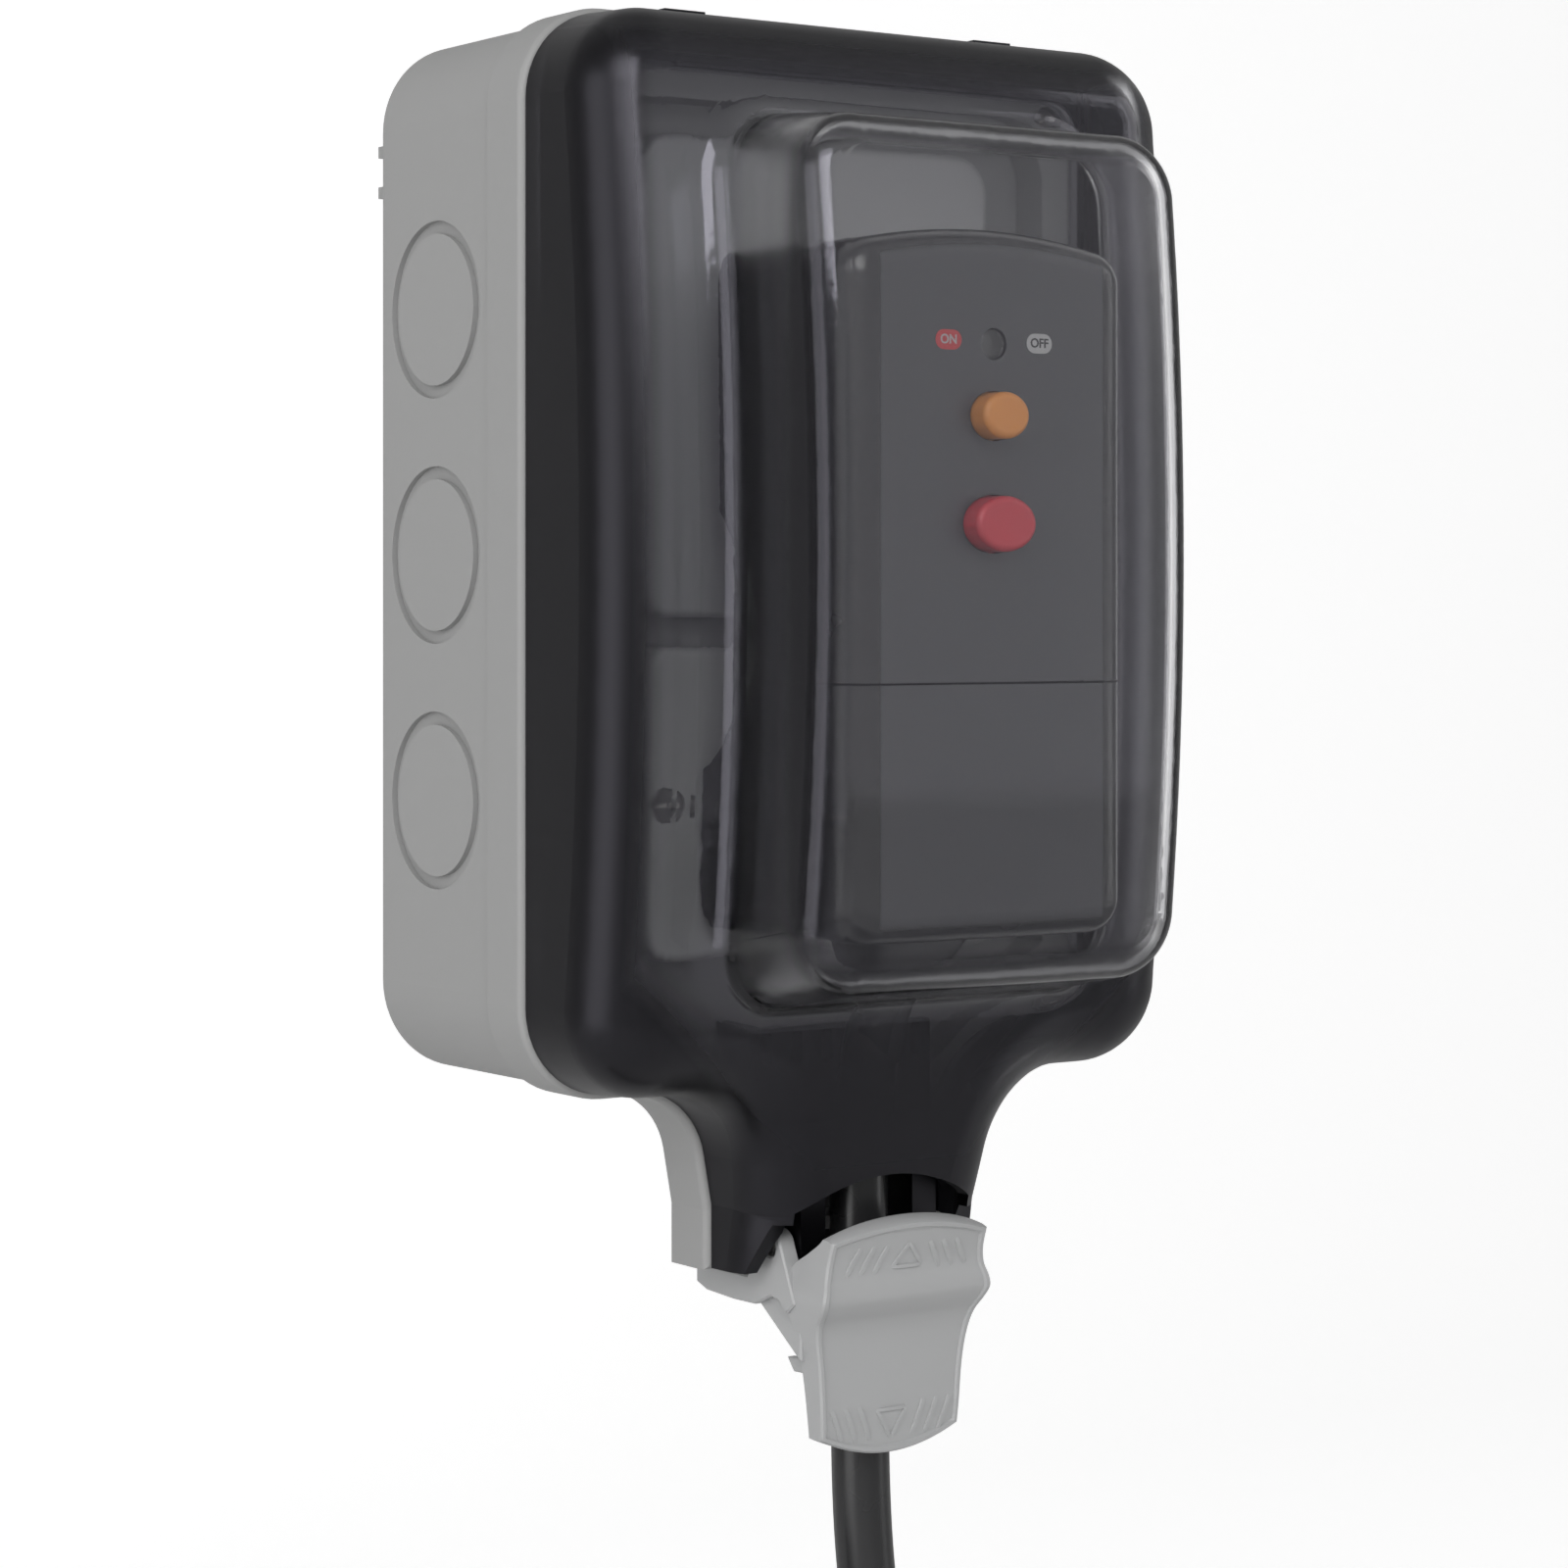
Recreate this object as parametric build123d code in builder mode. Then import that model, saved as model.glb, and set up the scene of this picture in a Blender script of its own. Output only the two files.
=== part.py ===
"""Weatherproof socket outlet with a smoked lid, a latch lever and a plugged-in safety plug.

Millimetres. X runs right seen from the front, Y runs into the wall, Z runs up.
The origin is the centre of the four wall fixing holes, on the back face.
Depths are measured forwards from the wall, so a depth of 49 is the plane y = -49.
"""
from build123d import *
from math import atan2, cos, degrees, pi, radians, sin, sqrt, tan
import os

os.makedirs("parts", exist_ok=True)

# Enclosure
box_width = 120.3
box_height = 178.0
box_corner = 16.0
box_depth = 38.5
box_wall = 2.6
box_floor = 3.0
frame_depth = 10.5
frame_grow = 0.9
neck_half = 25.0
neck_bottom = -120.0
neck_blend = 13.0
neck_flare = 5.0
neck_taper_length = 20.0

# Wall fixing and cable entries
fixing_x = 80.0
fixing_z = 132.0
fixing_hole = 2.6
entry_pitch = 41.4
entry_disc = 12.8
entry_ring = 15.0
entry_centre_depth = 19.45
entry_groove = 1.0

# Frame opening, deck and seal
opening_half = 46.0
opening_top = 76.0
funnel_top = -68.0
funnel_bottom = -90.0
channel_half = 19.0
channel_bottom = -113.0
deck = 3.0
seal_inset = 5.6
neck_seal_inset = 2.6
seal_width = 2.2
seal_depth = 3.0
screw_x = 47.5
screw_z = 76.5
screw_radius = 1.6
screw_head = 3.3
screw_seat = 45.0
screw_head_tall = 2.2
boss_deep = 9.0
comb_half = 18.6
comb_top = -79.0
comb_bottom = -96.0
comb_front = 52.4
comb_slot_depth = 4.0
comb_slots = 6
comb_pitch = 6.2
comb_slot_tall = 6.0
comb_slot_wide = 2.2
foam_depth = 1.4
base_half = 27.5
base_tall = 45.0

# Lid
lid_gap = 0.3
lid_wall = 2.3
lid_draft = 3.0
lid_crown_mid = 76.0
lid_crown_sag = 8.5
lid_crown_reach = 105.0
lid_edge = 12.0
bulge_half = 37.3
bulge_top = 69.0
bulge_bottom = -69.4
bulge_front = 98.0
bulge_crown = 4.5
bulge_corner = 11.0
bulge_edge = 6.0
bulge_root = 5.0
bulge_draft_side = 0.087
bulge_draft_bottom = 0.19
flange_depth = 2.5
lid_step = 0.9
lid_neck_half = 24.0
lid_bottom = -119.6
lid_run_out = -140.0
lid_front_end = -111.0
neck_foot = 57.5
neck_flange = 4.3
flange_inset = 9.5
arch_half = 18.0
arch_spring = -109.0
arch_top = -103.6
shelf_bottom = -104.0
shelf_thick = 3.5
lug_inner = 9.0
lug_wide = 5.0
lug_back = 53.0
lug_front = 61.2

# Lid hinge
hinge_depth = 45.5
hinge_height = 88.2
hinge_pin = 1.0
knuckle_radius = 1.9
knuckle_width = 8.0
knuckle_centre = 32.0
running_gap = 0.05
side_gap = 0.3
knuckle_slot = knuckle_width + 2 * side_gap
lug_half = 11.0
lug_drop = 3.2
lug_tall = 4.6
hinge_length = 20.0

# Latch lever
latch_depth = 57.2
latch_height = -115.7
latch_pin = 1.25
ear_centre = 16.0
ear_thick = 3.2
ear_radius = 3.0
ear_out = ear_centre + ear_thick / 2
lever_top = -109.0
lever_bottom = -150.0
lever_half_top = 15.9
lever_half_bottom = 13.6
lever_thick = 2.4
lever_edge = 2.2
lever_waist = 14.2
lever_bow = 2.5
lever_corner = 2.4
lever_wave = ((-72.4, -106.0), (-71.0, -113.5), (-72.7, -121.5), (-69.6, -127.8), (-67.5, -137.0), (-67.4, -152.0))
rim_wide = 1.1
rim_deep = 0.45
mark_tall = 0.35
mark_half = 2.5
bar_pitch = 2.7
bar_slant = 1.9
bar_wide = 1.1
cheek_back = 62.0
claw_gap = 0.3
claw_thick = 3.4
claw_bite = 2.4
claw_slope = 0.5
arm_gap = 1.3
arm_thick = 4.2

# Socket insert
socket_half = 36.0
socket_top = -15.6
socket_bottom = -68.0
panel_bottom = -10.5
panel_top = 70.6
face_depth = 49.0
pin_x = 11.1
line_z = -48.0
earth_rise = 22.2
pin_width = 6.35
pin_thick = 4.0
earth_width = 4.0
earth_tall = 8.0
socket_screw_x = 32.5
socket_screw_z = -41.8
socket_screw_radius = 1.5
face_thick = 3.0
panel_front = 46.5
shutter_back = 43.0
shutter_half = 16.5
shutter_tall = 36.0
base_back = 12.0
base_front = 45.7
pocket_back = 15.5
leaf = 0.8
grip_gap = 0.05
line_reach = 17.7
earth_reach = 22.7

# Safety plug
plug_gap = 0.2
plug_half = 28.0
plug_top = 52.3
plug_bottom = -62.5
plug_seam = 78.8
plug_front = 94.8
plug_wall = 2.4
plug_step_z = 7.0
plug_step_depth = 58.3
plug_split_z = -21.0
plug_arch = 3.5
reset_z = 22.0
reset_half = (4.6, 3.8)
test_z = 4.6
test_half = (6.0, 4.5)
button_proud = 3.9
button_travel = 2.0
button_gap = 0.25
window_z = 33.6
window_radius = 2.6

plug_corner = 6.0
plug_edge = 4.5
plug_gap_line = 0.4
grip_half = 16.0
grip_low = -36.0
grip_deep = 69.0
grip_middle = -12.0
board_back = 77.5
plate_back = 76.4
plate_front = 78.4
flange_back = 90.2
flag_back = 89.0
sleeve_long = 9.5
sleeve_wall = 0.5
board_thick = 1.6
spring_radius = 2.6
spring_wire = 0.7
spring_turns = 4
fuse_x = 13.0
fuse_radius = 3.15
fuse_length = 25.4
fuse_middle = -41.0
fuse_depth = 84.0

# Cord
cord_diameter = 10.0
boot_tilt = 25.0
boot_root_depth = 69.6
boot_length = 7.5
boot_waist_wide = 14.4
boot_waist_deep = 11.4
coil_radius = 66.0
coil_pitch = 10.8
coil_layer = 10.9
coil_turns = 4
coil_x = 10.2
coil_depth = 59.0
coil_start = -247.0
coil_flare = 8.0
tie_deep = 22.4
tie_tall = 31.8
tie_rise = 57.2
sleeve_length = 32.0
connector_radius = 14.0
connector_length = 44.0

frame_back = box_depth
frame_front = box_depth + frame_depth
lid_back = frame_front + lid_gap
deck_front = frame_back + deck
earth_z = line_z + earth_rise
plug_back = face_depth + plug_gap
claw_front = frame_back - claw_gap
arm_foot = neck_bottom - arm_gap - arm_thick

FRONT = Plane(origin=(0, 0, 0), x_dir=(1, 0, 0), z_dir=(0, -1, 0))


def at_depth(depth):
    """Plane facing the viewer, this far in front of the wall; local x is X and local y is Z."""
    return FRONT.offset(depth)


def save(name, part):
    """Label a finished piece and write it out."""
    part.label = name
    export_step(part, f"parts/{name}.step")


def case_outline(inset, neck, bottom):
    """Rounded body with a neck hanging from it, drawn in the sketch that is open."""
    half_w = box_width / 2 + frame_grow - inset
    half_h = box_height / 2 + frame_grow - inset
    corner = box_corner - inset
    Rectangle(2 * half_w, 2 * half_h)
    fillet(vertices(), corner)
    shoulder = -half_h + 8
    knee = -half_h - neck_taper_length
    Polygon((-neck - neck_flare, shoulder), (-neck, knee), (-neck, bottom),
            (neck, bottom), (neck, knee), (neck + neck_flare, shoulder), align=None)
    notch = [v for v in vertices() if abs(v.Y + half_h) < 0.2 and abs(v.X) < neck + neck_flare]
    fillet(notch, neck_blend + inset)


def opening_outline():
    """The frame's inner opening, which narrows like a funnel to the cord channel in the neck."""
    Polygon((-opening_half, opening_top), (opening_half, opening_top), (opening_half, funnel_top),
            (channel_half, funnel_bottom), (channel_half, channel_bottom), (-channel_half, channel_bottom),
            (-channel_half, funnel_bottom), (-opening_half, funnel_top), align=None)
    fillet([v for v in vertices() if v.Y > 0], 10)
    fillet([v for v in vertices() if abs(v.Y - channel_bottom) < 0.1], 3)


def pin_windows(slack, mode=Mode.ADD):
    """The three openings that the plug's pins pass through, for the sketch that is open."""
    with Locations((-pin_x, line_z), (pin_x, line_z)):
        Rectangle(pin_width + 2 * slack, pin_thick + 2 * slack, mode=mode)
    with Locations((0, earth_z)):
        Rectangle(earth_width + 2 * slack, earth_tall + 2 * slack, mode=mode)


def plug_outline(inset):
    """Front view of the safety plug, with its shallow arched top, for the sketch that is open."""
    arch_radius = (plug_half ** 2 + plug_arch ** 2) / (2 * plug_arch)
    with Locations((0, (plug_top + plug_bottom) / 2)):
        Rectangle(2 * (plug_half - inset), plug_top - plug_bottom - 2 * inset)
    with Locations((0, plug_top - arch_radius)):
        Circle(arch_radius - inset, mode=Mode.INTERSECT)
    fillet(vertices(), plug_corner - inset)


def outline_ring(depth, tall, outer, inner):
    """Ring between two outlines, each given as its inset, neck half width and lowest point."""
    with BuildPart() as ring:
        with BuildSketch(at_depth(depth)):
            case_outline(*outer)
        extrude(amount=tall)
        with BuildSketch(at_depth(depth)):
            case_outline(*inner)
        extrude(amount=tall, mode=Mode.SUBTRACT)
    return ring.part


def seal_ring(depth, tall, slack):
    """Ring along the enclosure's outline, narrower than its groove by the slack on both sides."""
    outer = neck_seal_inset + slack
    inner = neck_seal_inset + seal_width - slack
    return outline_ring(depth, tall,
                        (seal_inset + slack, neck_half - outer, neck_bottom + outer),
                        (seal_inset + seal_width - slack, neck_half - inner, neck_bottom + inner))


# Back box: a moulded shell with screw pillars, fixing bosses and thinned cable entries
with BuildPart() as back_box:
    with BuildSketch(at_depth(0)):
        RectangleRounded(box_width, box_height, box_corner)
    extrude(amount=box_depth)
    fillet(faces().sort_by(Axis.Y)[-1].edges(), 1.5)
    with BuildSketch(at_depth(box_floor)):
        RectangleRounded(box_width - 2 * box_wall, box_height - 2 * box_wall, box_corner - box_wall)
    extrude(amount=box_depth, mode=Mode.SUBTRACT)
    with BuildSketch(at_depth(box_floor - 0.5)):
        with GridLocations(2 * screw_x, 2 * screw_z, 2, 2):
            Circle(4.8)
    extrude(amount=box_depth - box_floor + 0.5)
    with BuildSketch(at_depth(box_floor - 0.5)):
        with GridLocations(fixing_x, fixing_z, 2, 2):
            Circle(6.0)
    extrude(amount=2.5)
    with BuildSketch(at_depth(-1)):
        with GridLocations(fixing_x, fixing_z, 2, 2):
            Circle(fixing_hole)
    extrude(amount=12, mode=Mode.SUBTRACT)
    with BuildSketch(at_depth(box_depth - 20)):
        with GridLocations(2 * screw_x, 2 * screw_z, 2, 2):
            Circle(screw_radius)
    extrude(amount=21, mode=Mode.SUBTRACT)
    for side in (-1, 1):
        wall_plane = Plane(origin=(side * box_width / 2, 0, 0), x_dir=(0, side, 0), z_dir=(side, 0, 0))
        with BuildSketch(wall_plane):
            with Locations([(-side * entry_centre_depth, step * entry_pitch) for step in (-1, 0, 1)]):
                Circle(entry_ring)
                Circle(entry_disc, mode=Mode.SUBTRACT)
        extrude(amount=-entry_groove, mode=Mode.SUBTRACT)
        end_plane = Plane(origin=(0, 0, side * box_height / 2), x_dir=(1, 0, 0), z_dir=(0, 0, side))
        with BuildSketch(end_plane):
            with Locations((0, -side * entry_centre_depth)):
                Circle(entry_ring)
                Circle(entry_disc, mode=Mode.SUBTRACT)
        extrude(amount=-entry_groove, mode=Mode.SUBTRACT)
    # Four small lugs stand out behind the top corners, two on each side
    with BuildSketch(Plane.XY.offset(62.0)):
        with GridLocations(box_width - 5, 0, 2, 1):
            Rectangle(3.2, 8)
    extrude(amount=2)
    with BuildSketch(Plane.XY.offset(69.0)):
        with GridLocations(box_width - 5, 0, 2, 1):
            Rectangle(3.2, 8)
    extrude(amount=2)
    with BuildSketch(at_depth(-10)):
        Rectangle(box_width, box_height)
    extrude(amount=7.8, mode=Mode.SUBTRACT)
save("back_box", back_box.part)

# Foam seal between the back box and the front frame, in a groove in the frame's back
with BuildPart() as box_seal:
    with BuildSketch(at_depth(frame_back)):
        RectangleRounded(box_width - 1.2, box_height - 1.2, box_corner - 0.6)
        RectangleRounded(box_width - 3.6, box_height - 3.6, box_corner - 1.8, mode=Mode.SUBTRACT)
    extrude(amount=foam_depth)
save("box_seal", box_seal.part)

# Front frame: the ring with the neck, its deck, the seal groove and the hinge seats
with BuildPart() as front_frame:
    with BuildSketch(at_depth(frame_back)):
        case_outline(0, neck_half, neck_bottom)
    extrude(amount=frame_depth)
    fillet(faces().sort_by(Axis.Y)[0].outer_wire().edges(), 1.2)
    with BuildSketch(at_depth(deck_front)):
        opening_outline()
    extrude(amount=frame_depth, mode=Mode.SUBTRACT)
    # Groove for the lid seal, cut as a ring that follows the outline
    add(seal_ring(frame_front - seal_depth, seal_depth + 1, 0), mode=Mode.SUBTRACT)
    # Seats for the frame screws
    with BuildSketch(at_depth(frame_back - 1)):
        with GridLocations(2 * screw_x, 2 * screw_z, 2, 2):
            Circle(screw_radius + 0.3)
    extrude(amount=frame_depth + 2, mode=Mode.SUBTRACT)
    with BuildSketch(at_depth(screw_seat)):
        with GridLocations(2 * screw_x, 2 * screw_z, 2, 2):
            Circle(screw_head + 0.4)
    extrude(amount=frame_depth, mode=Mode.SUBTRACT)
    # Groove for the foam seal, in the back
    with BuildSketch(at_depth(frame_back - 1)):
        RectangleRounded(box_width - 1.2, box_height - 1.2, box_corner - 0.6)
        RectangleRounded(box_width - 3.6, box_height - 3.6, box_corner - 1.8, mode=Mode.SUBTRACT)
    extrude(amount=1 + foam_depth, mode=Mode.SUBTRACT)
    # Way through the deck for the body of the socket
    with BuildSketch(at_depth(frame_back - 1)):
        with Locations((0, (socket_top + socket_bottom) / 2)):
            RectangleRounded(2 * base_half + 1, base_tall + 1, 3)
    extrude(amount=deck + 2, mode=Mode.SUBTRACT)
    # Bosses behind the deck for the socket screws
    with BuildSketch(at_depth(frame_back - boss_deep)):
        with Locations((0, socket_screw_z)):
            with GridLocations(2 * socket_screw_x, 0, 2, 1):
                Circle(3.3)
    extrude(amount=boss_deep + 0.5)
    with BuildSketch(at_depth(frame_back - boss_deep + 1)):
        with Locations((0, socket_screw_z)):
            with GridLocations(2 * socket_screw_x, 0, 2, 1):
                Circle(socket_screw_radius)
    extrude(amount=boss_deep + 5, mode=Mode.SUBTRACT)
    # Hinge seats at the top, each a slot for the lid's knuckle between two bored lugs
    for side in (-1, 1):
        with BuildSketch(Plane.YZ.offset(side * knuckle_centre - lug_half)):
            with Locations((-hinge_depth, hinge_height - lug_drop)):
                Rectangle(2 * (frame_front - hinge_depth), lug_tall, align=(Align.CENTER, Align.MIN))
        extrude(amount=2 * lug_half)
        with BuildSketch(Plane.YZ.offset(side * knuckle_centre - knuckle_slot / 2)):
            with Locations((-hinge_depth, hinge_height)):
                Circle(knuckle_radius + side_gap)
                Rectangle(20, 2 * (knuckle_radius + side_gap), align=(Align.MAX, Align.CENTER))
                Rectangle(2 * (knuckle_radius + side_gap), 12, align=(Align.CENTER, Align.MIN))
        extrude(amount=knuckle_slot, mode=Mode.SUBTRACT)
        with BuildSketch(Plane.YZ.offset(side * knuckle_centre - hinge_length / 2)):
            with Locations((-hinge_depth, hinge_height)):
                Circle(hinge_pin)
        extrude(amount=hinge_length, mode=Mode.SUBTRACT)
save("front_frame", front_frame.part)

# Lid seal: a rubber ring that sits in the frame's front groove
save("lid_seal", seal_ring(frame_front - seal_depth, seal_depth, 0.1))


def crown_cutter(middle, sag, reach, start):
    """Everything behind an arc that bows towards the viewer by the sag over the reach, along X."""
    end = 1.3 * reach
    fall = 1.3 ** 2 * sag
    with BuildPart() as bar:
        with BuildSketch(Plane.YZ):
            with BuildLine():
                ThreePointArc((-middle + fall, -end), (-middle, 0), (-middle + fall, end))
                Polyline((-middle + fall, end), (-start, end), (-start, -end), (-middle + fall, -end))
            make_face()
        extrude(amount=90, both=True)
    return bar.part


def lid_form(inset):
    """Solid form of the lid; the lid itself is this form less the same form set in by the wall."""
    edge = lid_edge - inset
    with BuildPart() as bulge:
        for depth in (60.0, 110.0):
            forward = depth - bulge_front
            half = bulge_half - forward * bulge_draft_side - inset
            high = bulge_top - forward * bulge_draft_side - inset
            low = bulge_bottom + forward * bulge_draft_bottom + inset
            with BuildSketch(at_depth(depth)):
                with Locations((0, (high + low) / 2)):
                    RectangleRounded(2 * half, high - low, bulge_corner - inset)
        loft()
        add(crown_cutter(bulge_front + bulge_crown - inset, bulge_crown, bulge_top, 55.0), mode=Mode.INTERSECT)
        fillet(faces().sort_by(Axis.Y)[0].edges(), bulge_edge - inset)
    with BuildPart() as form:
        with BuildSketch(at_depth(lid_back if inset == 0 else lid_back - 1)):
            case_outline(lid_step + inset, lid_neck_half - inset, lid_run_out)
        extrude(amount=40, taper=lid_draft)
        add(crown_cutter(lid_crown_mid - inset, lid_crown_sag, lid_crown_reach, 0.0), mode=Mode.INTERSECT)
        fillet(faces().sort_by(Axis.Y)[0].edges(), edge)
        before = edges()
        add(bulge.part)
        root = [e for e in edges() - before if e.center().Y > -lid_crown_mid - 1]
        fillet(root, bulge_root + inset)
    return form.part


# Lid: two tiers of smoked moulding with a seal flange, hinge knuckles and latch lugs
with BuildPart() as lid:
    add(lid_form(0))
    add(lid_form(lid_wall), mode=Mode.SUBTRACT)
    # Flange that presses on the seal, left out across the neck's open end
    add(outline_ring(lid_back, flange_depth,
                     (lid_step + 0.5, lid_neck_half - 0.5, lid_run_out),
                     (flange_inset, lid_neck_half - neck_flange, lid_run_out - 1)))
    # The neck ends at the frame's foot, and its front is cut away over the latch
    with BuildSketch(Plane.YZ):
        Polygon((0, lid_bottom), (-neck_foot, lid_bottom), (-neck_foot - 5, lid_front_end),
                (-120, lid_front_end), (-120, -160), (0, -160), align=None)
    extrude(amount=60, both=True, mode=Mode.SUBTRACT)
    with BuildSketch(at_depth(neck_foot + 1)):
        with BuildLine():
            ThreePointArc((-arch_half, arch_spring), (0, arch_top), (arch_half, arch_spring))
            Polyline((arch_half, arch_spring), (arch_half, -130), (-arch_half, -130), (-arch_half, arch_spring))
        make_face()
    extrude(amount=30, mode=Mode.SUBTRACT)
    # Two lugs carry the latch pins, each on a shelf across from the neck's side wall
    for side in (-1, 1):
        with BuildSketch(at_depth(lug_back)):
            with Locations((side * lug_inner, shelf_bottom)):
                inward = Align.MIN if side > 0 else Align.MAX
                Rectangle(lid_neck_half - lid_wall / 2 - lug_inner, shelf_thick, align=(inward, Align.MIN))
                Rectangle(lug_wide, shelf_bottom - latch_height + 3, align=(inward, Align.MAX))
        extrude(amount=lug_front - lug_back)
        with BuildSketch(Plane.YZ.offset(side * lug_inner - 8)):
            with Locations((-latch_depth, latch_height)):
                Circle(latch_pin)
        extrude(amount=16, mode=Mode.SUBTRACT)
        # Hinge knuckle and its web
        with BuildSketch(Plane.YZ.offset(side * knuckle_centre - knuckle_width / 2)):
            with Locations((-hinge_depth, hinge_height)):
                Circle(knuckle_radius)
                Rectangle(8, 2 * knuckle_radius, align=(Align.MAX, Align.CENTER))
        extrude(amount=knuckle_width)
        with BuildSketch(Plane.YZ.offset(side * knuckle_centre - knuckle_width)):
            with Locations((-hinge_depth, hinge_height)):
                Circle(hinge_pin + running_gap)
        extrude(amount=2 * knuckle_width, mode=Mode.SUBTRACT)
save("lid", lid.part)

# Hinge pins, one in each seat
with BuildPart() as hinge_pins:
    for side in (-1, 1):
        with BuildSketch(Plane.YZ.offset(side * knuckle_centre - hinge_length / 2)):
            with Locations((-hinge_depth, hinge_height)):
                Circle(hinge_pin)
        extrude(amount=hinge_length)
save("hinge_pins", hinge_pins.part)

# Latch pins, one through each lug and into the lever's ear, with the cord passing between them
with BuildPart() as latch_pins:
    for side in (-1, 1):
        with BuildSketch(Plane.YZ.offset(side * (lug_inner + ear_out) / 2 - (ear_out - lug_inner) / 2)):
            with Locations((-latch_depth, latch_height)):
                Circle(latch_pin)
                Circle(latch_pin / 2, mode=Mode.SUBTRACT)
        extrude(amount=ear_out - lug_inner)
save("latch_pins", latch_pins.part)

# Latch lever: a tray shaped in an S, with two ears, two arms and a claw at the end of each arm
def lever_outline(inset):
    """Front outline of the lever, with rounded corners."""
    top = lever_half_top - inset
    waist = lever_waist - inset
    foot = lever_half_bottom - inset
    high = lever_top - inset
    low = lever_bottom + inset
    with BuildSketch(mode=Mode.PRIVATE) as outline:
        with BuildLine():
            ThreePointArc((-top, high - lever_bow), (0, high), (top, high - lever_bow))
            Spline((top, high - lever_bow), (waist + 0.9, -118.0), (waist + 1.3, -122.5), (waist, -130.0),
                   (foot, low + lever_bow))
            ThreePointArc((foot, low + lever_bow), (0, low), (-foot, low + lever_bow))
            Spline((-foot, low + lever_bow), (-waist, -130.0), (-waist - 1.3, -122.5), (-waist - 0.9, -118.0),
                   (-top, high - lever_bow))
        make_face()
        fillet(outline.vertices(), max(0.6, lever_corner - inset))
    return outline.sketch


def lever_layer(front, back):
    """Section of the S wave between two depths behind the lever's front; no back means all the way."""
    wave_points = [(y + front, z) for y, z in lever_wave]
    with BuildSketch(mode=Mode.PRIVATE) as layer:
        with BuildLine():
            wave = Spline(*wave_points)
            if back:
                rear = Spline(*[(y + back, z) for y, z in lever_wave])
                Line(wave @ 1, rear @ 1)
                Line(wave @ 0, rear @ 0)
            else:
                Polyline(wave @ 1, (-20, wave_points[-1][1]), (-20, wave_points[0][1]), wave @ 0)
        make_face()
    return layer.sketch


def lever_slice(outline, front, back):
    """Solid under an outline seen from the front, between two depths behind the S wave."""
    with BuildPart(mode=Mode.PRIVATE) as piece:
        with BuildSketch(at_depth(cheek_back - 12)):
            add(outline)
        extrude(amount=40)
        with BuildSketch(Plane.YZ):
            add(lever_layer(front, back))
        extrude(amount=40, both=True, mode=Mode.INTERSECT)
    return piece.part


def grip_marks(tip, foot):
    """Raised marks in one end of the lever: a triangle and three slanted bars on each side of it."""
    toward = 1 if tip > foot else -1
    with BuildSketch(mode=Mode.PRIVATE) as marks:
        Polygon((-mark_half, foot), (mark_half, foot), (0, tip), align=None)
        Polygon((-mark_half + 1.1, foot + toward * 0.6), (mark_half - 1.1, foot + toward * 0.6),
                (0, tip - toward * 1.1), align=None, mode=Mode.SUBTRACT)
        for side in (-1, 1):
            for step in range(3):
                near = side * (mark_half + 1.2 + step * bar_pitch)
                far = near + side * bar_slant
                Polygon((near, tip), (near + side * bar_wide, tip), (far + side * bar_wide, foot), (far, foot),
                        align=None)
    return marks.sketch


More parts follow.
